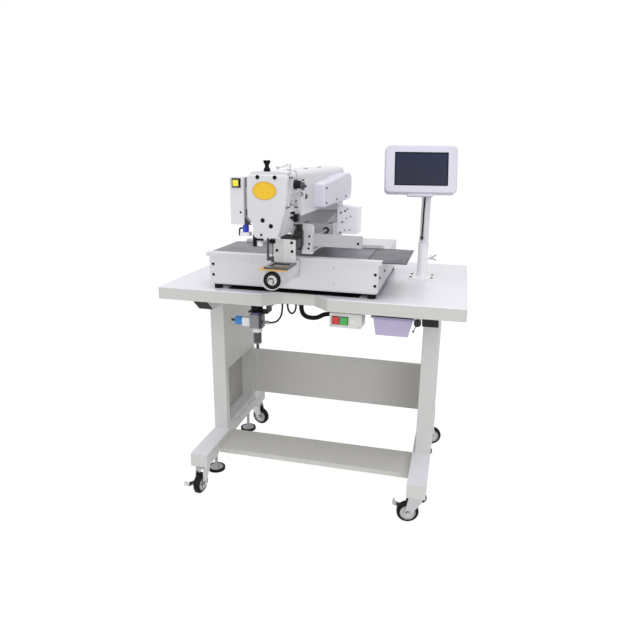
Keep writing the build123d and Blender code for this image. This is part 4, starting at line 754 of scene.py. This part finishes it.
def screws(name, places, axis, radius, height, body="stand", finish=black_steel, form=socket_screw):
    """Makes one piece of several screws that point the same way."""
    drawn(name, finish, *[(form, place, axis, radius, height) for place in places], body=body)


def bolts(name, places, axis, radius, height, body="stand"):
    screws(name, places, axis, radius, height, body, zinc, bolt)


def span(node):
    """A node's lowest and highest corners at rest, in millimetres."""
    low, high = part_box(node)
    return Vector(low) / MM, Vector(high) / MM


# Camera, as the photograph was taken
LENS, SENSOR = 32.035, 36.0
CAMERA_PLACE = (0.45677, -1.92496, 1.205)
YAW, PITCH, ROLL = -0.236, -0.286, 0.014
forward = Vector((math.sin(YAW) * math.cos(PITCH), math.cos(YAW) * math.cos(PITCH), math.sin(PITCH)))
level = Vector((math.cos(YAW), -math.sin(YAW), 0.0))
rise = level.cross(forward)
camera_right = math.cos(ROLL) * level + math.sin(ROLL) * rise
camera_up = math.cos(ROLL) * rise - math.sin(ROLL) * level
camera_data = bpy.data.cameras.new("camera")
camera_data.lens = LENS
camera_data.sensor_width = SENSOR
camera = bpy.data.objects.new("camera", camera_data)
scene.collection.objects.link(camera)
turn = Matrix((camera_right, camera_up, -forward)).transposed().to_4x4()
camera.matrix_world = Matrix.Translation(CAMERA_PLACE) @ turn
scene.camera = camera

# Directions and faces that pieces are set on
TO_FRONT, TO_REAR = (0, -1, 0), (0, 1, 0)
TO_RIGHT, TO_LEFT = (1, 0, 0), (-1, 0, 0)
UP, DOWN = (0, 0, 1), (0, 0, -1)
FRONT_FACE = (TO_RIGHT, UP)
RIGHT_FACE = (TO_REAR, UP)
TOP_FACE = (TO_RIGHT, TO_REAR)

# Cords, on the routes of their solids: heights are from the table's underside, and the panel cable's
# points are from the top of the post's socket
TABLE_UNDER = (0.0, 0.0, span("tabletop")[0].z)
socket_low, socket_high = span("post_socket")
POST = (337.0, 155.0)
SOCKET_TOP = (*POST, socket_high.z)
CONDUIT = ((-25, -186, -6), (-25, -186, -27), (-9, -186, -45), (28, -186, -46))
CONDUIT += ((56, -186, -27), (82, -186, -27))
HOSE = ((-133, -204, -69), (-114, -204, -69), (-97, -196, -57), (-90, -186, -35), (-90, -186, -6))
HOSE_LOOP = ((-72, -186, -6), (-72, -186, -24), (-58, -186, -40), (-43, -186, -24), (-43, -186, -6))
PANEL_CABLE = ((-4, -19, 165), (-5.5, -20, 120), (-5, -20, 70), (-6, -19, 27.3))
cords = {
    "cable_conduit": (0.015, "stiff", "stand", TABLE_UNDER, CONDUIT),
    "air_hose": (0.006, "medium", "stand", TABLE_UNDER, HOSE),
    "hose_loop": (0.006, "medium", "stand", TABLE_UNDER, HOSE_LOOP),
    "panel_cable": (0.005, "medium", "post", SOCKET_TOP, PANEL_CABLE),
}
for name, (diameter, stiffness, body, start, points) in cords.items():
    route = [MM * (Vector(start) + Vector(point)) for point in points]
    curve = bpy.data.curves.new(name + "_sheath", "CURVE")
    curve.dimensions = "3D"
    curve.resolution_u = 16
    curve.bevel_depth = diameter / 2
    curve.bevel_resolution = 5
    curve.use_fill_caps = True
    spline = curve.splines.new("NURBS")
    spline.points.add(len(route) - 1)
    for point, place in zip(spline.points, route):
        point.co = (*place, 1.0)
    spline.order_u = 3
    spline.use_endpoint_u = True
    curve.materials.append((hose_rubber if name == "air_hose" else cord_rubber).material)
    sheath = bpy.data.objects.new(name + "_sheath", curve)
    scene.collection.objects.link(sheath)
    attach(sheath, body)
    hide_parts(name)


# Head: badge, screws and plugs on the face cover
face_y = span("face_cover")[0].y
BADGE = (-55.3, face_y, 1105.0)
# Half width and half height of the badge and of its rim
BADGE_PLATE, BADGE_OUTER, BADGE_INNER = (32.4, 22.9), (33.2, 23.7), (31.6, 22.1)
badge_gold = paint("badge_gold", GOLD, rough=0.34, coat=0.3)
badge_plate = (cut_sheet, oval(*BADGE_PLATE), BADGE, FRONT_FACE, 0.8)
drawn("badge_plate", badge_gold, badge_plate, slot="machine_paint")
badge_rim = (rim_sheet, oval(*BADGE_OUTER), oval(*BADGE_INNER), BADGE, FRONT_FACE, 1.5)
drawn("badge_rim", paint("badge_rim_gold", GOLD_RIM, rough=0.3), badge_rim, slot="machine_paint")
screws("face_screws", [(x, face_y, 1140.2) for x in (-74.0, -26.0)], TO_FRONT, 5.4, 2.0)
screws("face_low_screw", [(-65.6, face_y, 987.4)], TO_FRONT, 3.2, 2.0)
FACE_PLUG = seated((0, 1.8), (3.0, 1.7), (5.2, 1.0), (6.2, 0.2))
FACE_PLUGS = ((-61.3, 1026.6), (-38.1, 1011.7))
drawn("face_plugs", black_rubber, *[(turned, (x, face_y, z), TO_FRONT, FACE_PLUG) for x, z in FACE_PLUGS])

# Head, right side: thread guides, tension discs, take-up guard, small screws and the oil sight window
arm_top = span("arm_casting")[1].z
SIDE_X = 8.0
EYELET = ((1.6, 0), (3.6, 0), (4.2, 1), (4.2, 4), (3.6, 5), (1.6, 5), (1.6, 0))
drawn(
    "top_thread_guide",
    zinc,
    (wire, ((11, -429, 1146), (11, -430, 1158), (11, -430, 1175)), 1.6),
    (wire, ((11, -430, 1166), (-2, -430, 1170), (-16, -430, 1166), (-24, -430, 1165)), 1.2),
    (wire, ((11, -430, 1169), (4, -424, 1174), (-6, -418, 1172), (-12, -420, 1166)), 1.2),
    (turned, (-24, -433, 1165), TO_REAR, EYELET, 24),
)
FACE_GUIDE = ((1, -428, 1061), (9, -429, 1062), (10, -438, 1063), (9, -447, 1062), (0, -447, 1061))
ARM_GUIDE = ((0, -351, 1054), (7, -352, 1056), (8, -347, 1058), (6, -344, 1054), (0, -344, 1052))
drawn("thread_guides", dark_steel, (wire, FACE_GUIDE, 2.0), (wire, ARM_GUIDE, 1.2))
GUARD = ((2, -424, 1146), (10, -424, 1158), (15, -408, 1160), (16, -386, 1150))
GUARD += ((17, -376, 1132), (16, -373, 1104), (6, -373, 1098))
drawn("take_up_guard", white_nylon, (wire, GUARD, 2.3))
DISC_STUD = ((0, 15.0), (3.4, 15.0), (4.2, 14.0), (4.2, 9.0))
DISCS = seated(*DISC_STUD, (11.0, 8.0), (12.0, 7.0), (5.0, 5.4), (12.0, 3.8), (12.0, 3.0), (4.4, 2.2))
drawn(
    "tension_discs",
    dark_steel,
    (turned, (SIDE_X, -308, 1112), TO_RIGHT, DISCS),
    (wire, ((8, -304, 1127), (14, -305, 1131), (17, -312, 1132), (16, -318, 1128)), 1.5),
    (wire, ((8, -314, 1094), (14, -316, 1092), (16, -322, 1088), (9, -326, 1086)), 1.7),
)
# The head's right side leans in below its shoulder, so each screw has its own x, and its own radius last
SIDE_SCREWS = ((7.6, -405, 1139, 2.6), (7.6, -425, 1139, 2.6), (2.3, -347, 1073, 3.2), (1.6, -398, 1065, 2.6))
side_screws = [(socket_screw, place, TO_RIGHT, radius, 1.8) for *place, radius in SIDE_SCREWS]
drawn("head_side_screws", black_steel, *side_screws)
LIFTER_KNOB = ((0, 9.0), (3.6, 9.0), (4.8, 7.8), (4.8, 3.0), (3.0, 2.2), (3.0, -2.5), (0, -2.5))
drawn(
    "presser_lifter",
    black_steel,
    (turned, (-3.2, -370.0, 1041.0), TO_RIGHT, LIFTER_KNOB),
    (turned, (-7.2, -366.0, 1027.0), TO_RIGHT, LIFTER_KNOB),
    (slab, (-8.5, -341, 1012), (4.5, -313, 1034), 2.5),
)
SIGHT = (SIDE_X, -263.0, 1080.0)
SIGHT_DOME = ((0, 6.4), (3.6, 5.9), (6.4, 4.3), (8.2, 2.0), (8.8, -SUNK), (0, -SUNK))
sight_glass = plastic("sight_glass", tone(40, 44, 58), rough=0.1, coat=0.6)
drawn("sight_glass", sight_glass, (turned, SIGHT, TO_RIGHT, SIGHT_DOME), slot="bowl")
sight_rim = (rim_sheet, oval(11.0, 11.0, 40), oval(8.6, 8.6, 40), SIGHT, RIGHT_FACE, 1.0)
drawn("sight_glass_rim", enamel, sight_rim)
screws("arm_side_screw", [(SIDE_X, -131.0, 1113.0)], TO_RIGHT, 4.2, 2.6)

# Arm top: oil plugs
OIL_PLUG = seated((0, 1.4), (4.0, 1.6), (7.0, 1.2), (8.0, 0.2))
drawn("oil_plugs", black_rubber, *[(turned, (-48, y, arm_top), UP, OIL_PLUG) for y in (-250.0, -60.0, 130.0)])

# Motor cover, valve box and side box
motor_x = span("motor_cover")[1].x
MOTOR_SCREWS = ((-136, 1052), (20, 1052), (180, 1052), (-136, 1098))
screws("motor_cover_screws", [(motor_x, y, z) for y, z in MOTOR_SCREWS], TO_RIGHT, 3.6, 2.4)
valve_y = span("valve_box")[0].y
VALVE_SCREWS = ((21.6, 989.4), (37.8, 996.3), (27.8, 955.4), (21.1, 915.6))
VALVE_STUDS = ((46.4, 1003.2), (43.9, 970.2), (58.9, 977.1), (37.4, 924.7), (57.0, 926.7))
screws("valve_box_screws", [(x, valve_y, z) for x, z in VALVE_SCREWS], TO_FRONT, 3.4, 2.2)
screws("valve_box_studs", [(x, valve_y, z) for x, z in VALVE_STUDS], TO_FRONT, 2.6, 1.6, finish=dark_steel)
screws("side_box_screw", [(-128.4, -439.0, 1045.0)], TO_FRONT, 2.8, 1.2)

# Wiper: hexagon collar and elbow of its air fitting, and its arm and block under the head
WIPER = (-119.0, -427.0, 992.0)
WIPER_COLLAR = ((7.6, 0), (8.6, 0), (9.6, 1.2), (9.6, 14.0), (8.6, 15.2), (7.6, 15.2), (7.6, 0))
cobalt = plastic("cobalt_plastic", COBALT, rough=0.3)
drawn("wiper_collar", cobalt, (turned, WIPER, UP, WIPER_COLLAR, 48, (1, 2, 3, 4)), slot="air_plastic")
ELBOW = ((-126, -427, 1000), (-136, -427, 1000), (-138, -427, 996), (-138, -427, 979))
drawn("wiper_elbow", black_plastic, (wire, ELBOW, 2.4))
drawn(
    "wiper_arm",
    black_steel,
    (slab, (-97, -434, 951), (-88, -425, 985), 1.2),
    (slab, (-89, -433, 968), (-67, -428, 974), 0.8),
)
drawn(
    "wiper_block",
    white_nylon,
    (slab, (-84, -435, 953), (-69, -426, 964), 1.0),
    (slab, (-79, -432.5, 963), (-74, -428.5, 969), 0.4),
)

# Base: front cover, bed plates and their screws
FACE_STEP = 2.0  # from a cover's foremost edge back to the face that its screws sit on
cover_y = span("front_cover")[0].y + FACE_STEP
CORNER_SCREWS = ((-312.4, 852.4), (-312.4, 817.4), (220.1, 848.6), (220.1, 813.3))
SEAM_SCREWS = ((-174.5, 864.2), (-174.5, 814.0), (90.2, 862.5), (90.2, 811.0))
screws("front_cover_screws", [(x, cover_y, z) for x, z in CORNER_SCREWS], TO_FRONT, 4.4, 2.4)
screws("cover_seam_screws", [(x, cover_y, z) for x, z in SEAM_SCREWS], TO_FRONT, 3.0, 1.4, finish=zinc)
for name, x, way in (("cover_right_screws", 229.0, TO_RIGHT), ("cover_left_screws", -325.0, TO_LEFT)):
    screws(name, [(x, y, 833.0) for y in (-75.0, -190.0)], way, 4.4, 2.4)
slide_low, slide_high = span("slide_covers")
PLATE_MARGIN, PLATE_FRONT = 14, 50
plate_corners = [
    (x, y, slide_high.z)
    for x in (slide_low.x + PLATE_MARGIN, slide_high.x - PLATE_MARGIN)
    for y in (slide_low.y + PLATE_FRONT, slide_high.y - PLATE_MARGIN)
]
screws("slide_cover_screws", plate_corners, UP, 4.2, 1.3, finish=steel)

# Black rubber sheet under the base, cut out round its feet: painted shade for the dark gap beneath the base
feet_low, feet_high = span("base_feet")
table_top = span("tabletop")[1].z
SHADE_SHEET_MARGIN, SHADE_SHEET_NOTCH, SHADE_SHEET_THICKNESS = 6.0, 46.0, 2.0
shade_sheet_x = (feet_low.x + SHADE_SHEET_MARGIN, feet_high.x - SHADE_SHEET_MARGIN)
shade_sheet_y = (feet_low.y + SHADE_SHEET_MARGIN, feet_high.y - SHADE_SHEET_MARGIN)
quarter = ((0, SHADE_SHEET_NOTCH), (SHADE_SHEET_NOTCH, SHADE_SHEET_NOTCH), (SHADE_SHEET_NOTCH, 0))
outline = []
for right, rear in CORNERS:
    notch = quarter if right == rear else quarter[::-1]
    outline += [(shade_sheet_x[right > 0] - right * a, shade_sheet_y[rear > 0] - rear * b) for a, b in notch]
drawn("base_shade_sheet", black_rubber, (cut_sheet, outline, (0, 0, table_top), TOP_FACE, SHADE_SHEET_THICKNESS))

# Feed: screws of the arm, the clamp plates and the carriage, and the air cylinder's cap
BRACKET_SCREWS = ((17, -250, 960), (17, -250, 937), (15, -250, 923))
screws("feed_bracket_screws", BRACKET_SCREWS, TO_FRONT, 3.2, 2.6, "feed_arm")
screws("feed_bar_screw", [(167, -246, 944)], TO_FRONT, 3.8, 2.2, "feed_arm")
FOLD_X, FOLD_Y = -29.0, -363.0  # the clamp plate is folded along this upright line
FOLD_SLOPE = 8.0 / 32.0
CLAMP_SCREWS = (
    ("clamp_right_screws", FOLD_SLOPE, ((-7.0, 955.0), (-6.0, 930.0))),
    ("clamp_left_screws", -FOLD_SLOPE, ((-51.0, 931.0),)),
)
for name, slope, places in CLAMP_SCREWS:
    seats = [(x, FOLD_Y + FOLD_SLOPE * abs(x - FOLD_X), z) for x, z in places]
    screws(name, seats, (slope, -1.0, 0.0), 4.2, 2.8, "work_clamp")
carriage_top = span("x_carriage")[1].z
carriage_corners = [(x, y, carriage_top) for x in (-74, 16) for y in (40, 70)]
screws("carriage_screws", carriage_corners, UP, 3.6, 2.6, "x_carriage")
CYLINDER = (-34.0, -244.0, 991.0)
CYLINDER_CAP = seated((0, 7), (2.6, 7), (3.0, 6), (3.0, 2.4), (8.6, 1.8), (9.4, 0.8))
drawn("cylinder_cap", black_plastic, (turned, CYLINDER, UP, CYLINDER_CAP), body="feed_arm")

# Bobbin case in the rotary hook: its face, spindle and latch
hook_y = span("shuttle_hook")[0].y
HOOK = (HOOK_X / MM, hook_y, HOOK_Z / MM)
SPINDLE = ((0, 2.2), (2.6, 2.2), (3.2, 1.6), (3.2, 0.5), (5.2, 0.4), (5.6, 1.0), (7.4, 1.0), (7.8, 0.3))
CASE = (*SPINDLE, (14.2, 0.2), (14.8, -0.6), (14.8, -4.0), (0, -4.0))
case_steel = metal("bobbin_case_steel", tone(200, 200, 203), rough=0.38)
bobbin_case = (turned, HOOK, TO_FRONT, CASE, 40)
drawn("bobbin_case", case_steel, bobbin_case, body="shuttle_hook", slot="dark_steel")
latch_back = hook_y + 0.3
drawn(
    "bobbin_latch",
    black_steel,
    (slab, (-53.0, hook_y - 1.5, 859.6), (-40.0, latch_back, 863.6), 0.6),
    (slab, (-42.0, hook_y - 1.1, 847.0), (-38.6, latch_back, 859.0), 0.5),
    (slab, (-56.4, hook_y - 0.9, 853.0), (-53.6, latch_back, 862.0), 0.5),
    body="shuttle_hook",
)

# Needle clamp and its screw, knurled grips and the pulley's nut
needle_low, needle_high = span("needle_bar")
needle_middle = (needle_low + needle_high) / 2
NEEDLE_CLAMP = ((6.7, 0), (8.4, 0), (9.2, 0.8), (9.2, 9.2), (8.4, 10.0), (6.7, 10.0), (6.7, 0))
needle_clamp = (turned, (needle_middle.x, needle_middle.y, 960.0), UP, NEEDLE_CLAMP, 28)
drawn("needle_clamp", black_steel, needle_clamp, body="needle_bar")
screws("needle_clamp_screw", [(-42.0, -409.0, 967.0)], TO_RIGHT, 2.4, 5.0, "needle_bar", steel)
knurl_z = span("presser_knob")[1].z - 5.2
GRIPS = (
    ("presser_knob", "knurl", black_plastic, (9.5, 0.9, 30), (-57, -422, knurl_z), TOP_FACE, 4.4),
    ("tension_knob", "knurl", black_steel, (10.6, 0.9, 28), (16.5, -382, 1120), RIGHT_FACE, 8.0),
    ("regulator_knob", "ribs", black_plastic, (19.6, 1.1, 30), (-172, -204, 706), TOP_FACE, 16.0),
    ("lock_knob", "ribs", black_plastic, (11.0, 1.0, 16), (357, -237, 710), FRONT_FACE, 7.5),
)
for body, form, finish, teeth, place, face, depth in GRIPS:
    drawn(body + "_" + form, finish, (cut_sheet, star(*teeth), place, face, depth), body=body)
bolts("pulley_nut", [(-48, span("hand_pulley")[1].y, 1088)], TO_REAR, 9.0, 6.0, "hand_pulley")

# Operating panel: gasket, rear vents and screws, and the bolts that it tilts on
LEAN, TURNED = math.radians(15.0), math.radians(12.0)
panel_across = Vector((math.cos(TURNED), math.sin(TURNED), 0))
panel_up = math.sin(LEAN) * Vector((-math.sin(TURNED), math.cos(TURNED), 0)) + Vector((0, 0, math.cos(LEAN)))
panel_out = panel_across.cross(panel_up)
PIVOT = Vector((*POST, 1094.4))
PANEL_ACROSS, PANEL_UP, PANEL_OUT = -30.5, 47.0, 60.0  # the middle of the panel's face, from its pivot
PANEL_DEPTH = 34.0


def on_panel(across, up, out=0.0):
    """A place measured from the middle of the panel's face."""
    lift = (up + PANEL_UP) * panel_up + (out + PANEL_OUT) * panel_out
    return PIVOT + (across + PANEL_ACROSS) * panel_across + lift


gasket_face = (panel_across, panel_up)
gasket = (rim_sheet, rectangle(182.0, 113.0), rectangle(175.0, 106.0), on_panel(0, 1), gasket_face, 0.7)
drawn("screen_gasket", black_rubber, gasket, body="panel")
vent_face = (-panel_across, panel_up)
vent_places = [on_panel(60, 20 + 5.5 * row, -PANEL_DEPTH) for row in range(8)]
vents = [(cut_sheet, oval(26.0, 1.3, 24), place, vent_face, 0.3) for place in vent_places]
drawn("panel_vents", black_plastic, *vents, body="panel")
corners = [on_panel(a, b, -PANEL_DEPTH) for a in (-108, 108) for b in (-66, 66)]
screws("panel_rear_screws", corners, -panel_out, 3.2, 1.8, "panel")
LUG_END = 23.5  # from the pivot to the outer face of the panel's lug
for name, way in (("tilt_bolt_right", panel_across), ("tilt_bolt_left", -panel_across)):
    bolts(name, [PIVOT + LUG_END * way], way, 5.0, 4.0, "panel")
plate_top = socket_low.z + 5.0
plate_places = [(POST[0] + a, POST[1] + b, plate_top) for a in (-37, 37) for b in (-26, 26)]
screws("post_plate_screws", plate_places, UP, 4.4, 3.0)
cable_tie = (rim_sheet, oval(16.9, 16.9), oval(15.9, 15.9), (*POST, socket_high.z + 19.0), TOP_FACE, 5.0)
drawn("cable_tie", white_nylon, cable_tie, body="post", slot="post_paint")

# Switch box: bezels round its buttons, screws and the gland that the conduit enters by
switch_y = span("switch_box")[0].y + FACE_STEP
bezels = []
for button in ("stop_button", "start_button"):
    low, high = span(button)
    middle = ((low.x + high.x) / 2, switch_y, (low.z + high.z) / 2)
    bezels.append((rim_sheet, rectangle(25.0, 27.0), rectangle(22.6, 24.6), middle, FRONT_FACE, 1.6))
drawn("button_bezels", black_plastic, *bezels)
screws("switch_box_screws", [(x, switch_y, 681.0) for x in (88.0, 179.0)], TO_FRONT, 2.6, 1.2, finish=zinc)
GLAND_NUT = ((7.7, -SUNK), (12.0, -SUNK), (12.0, 4.0))
GLAND = (*GLAND_NUT, (10.4, 4.6), (10.4, 9.0), (9.2, 10.5), (7.7, 10.5), GLAND_NUT[0])
drawn("conduit_gland", black_plastic, (turned, (82, -186, 703), TO_LEFT, GLAND, 32, (1, 2)))

# Air unit: release collar of the hose's fitting, ribs of the coupling, and the bracket's bolts
HOSE_COLLAR = ((3.1, 0), (6.4, 0), (6.4, 3.0), (4.6, 3.6), (4.6, 5.2), (3.1, 5.2), (3.1, 0))
drawn("hose_collar", zinc, (turned, (-136, -204, 661), TO_RIGHT, HOSE_COLLAR))
drawn("coupling_ribs", blue_plastic, (cut_sheet, star(14.7, 1.2, 24), (-244, -204, 661), RIGHT_FACE, 16.0))
bolts("air_bracket_bolts", [(-118, y, 726) for y in (-217, -191)], DOWN, 4.0, 3.6)

# Stand: bolts of the rear panel and of the casters' axles
SHEET = 2.0
panel_y = span("rear_panel")[0].y + SHEET
bolts("rear_panel_bolts", [(x, panel_y, z) for x in (-392, 392) for z in (215, 350)], TO_REAR, 5.0, 4.0)
AXLE_HALF = 20.6
for corner, joint in wheels.items():
    centre = Vector(joint["pos_m"]) / MM
    axle = Vector(joint["axis"]).normalized()
    ends = [(bolt, centre + AXLE_HALF * end, end, 6.0, 4.5) for end in (axle, -axle)]
    drawn("axle_bolts_" + corner, zinc, *ends, body=corner + "_swivel")

# Floor, backdrop and light
FLOOR_REACH = 30.0
FLOOR_GREY = (0.82, 0.82, 0.82, 1.0)
FLOOR_GLOW, FLOOR_SHARE = 1.12, 0.86
SKY, SKY_STRENGTH = (0.96, 0.97, 1.0, 1.0), 0.60
WHITE = (1.0, 1.0, 1.0, 1.0)


def seen(tree):
    """1 where the background is looked at, straight, mirrored or through glass."""
    path = add_node(tree, "ShaderNodeLightPath").outputs
    share = path["Is Camera Ray"]
    for other in ("Is Glossy Ray", "Is Transmission Ray"):
        both = {0: share, 1: path[other]}
        share = add_node(tree, "ShaderNodeMath", {"operation": "MAXIMUM"}, both).outputs[0]
    return share


def blended(tree, output, share, first, second):
    """Joins two shaders by a share and links them to an output."""
    sources = {0: share, 1: first.outputs[0], 2: second.outputs[0]}
    blend = add_node(tree, "ShaderNodeMixShader", None, sources)
    add_node(tree, output, None, {"Surface": blend.outputs[0]})


floor_mesh = bpy.data.meshes.new("floor")
floor_corners = [(a * FLOOR_REACH, b * FLOOR_REACH, 0) for a, b in CORNERS]
floor_mesh.from_pydata(floor_corners, [], [(0, 1, 2, 3)])
floor = bpy.data.objects.new("floor", floor_mesh)
scene.collection.objects.link(floor)
floor_material = bpy.data.materials.new("floor")
floor_material.use_nodes = True
tree = floor_material.node_tree
tree.nodes.clear()
matte = add_node(tree, "ShaderNodeBsdfDiffuse", None, {"Color": FLOOR_GREY})
glow = add_node(tree, "ShaderNodeEmission", None, {"Strength": FLOOR_GLOW})
share = add_node(tree, "ShaderNodeMath", {"operation": "MULTIPLY"}, {0: seen(tree), 1: FLOOR_SHARE})
blended(tree, "ShaderNodeOutputMaterial", share.outputs[0], matte, glow)
floor_mesh.materials.append(floor_material)

world = bpy.data.worlds.new("studio")
world.use_nodes = True
scene.world = world
tree = world.node_tree
tree.nodes.clear()
soft = add_node(tree, "ShaderNodeBackground", None, {"Color": SKY, "Strength": SKY_STRENGTH})
plain = add_node(tree, "ShaderNodeBackground", None, {"Color": WHITE, "Strength": 1.0})
blended(tree, "ShaderNodeOutputWorld", seen(tree), soft, plain)


def softbox(name, place, size, power):
    """Adds a square lamp that looks at the middle of the machine."""
    lamp = bpy.data.lights.new(name, "AREA")
    lamp.shape = "SQUARE"
    lamp.size = size
    lamp.energy = power
    made = bpy.data.objects.new(name, lamp)
    scene.collection.objects.link(made)
    made.location = place
    made.rotation_euler = (MIDDLE - Vector(place)).to_track_quat("-Z", "Y").to_euler()


MIDDLE = Vector((0.0, 0.0, 0.75))
softbox("top_box", (0.2, -0.6, 3.4), 2.6, 38.0)
softbox("key_box", (1.7, -3.0, 2.2), 1.8, 30.0)
softbox("left_box", (-2.4, -2.6, 1.4), 2.2, 12.0)

scene.view_settings.view_transform = "Standard"
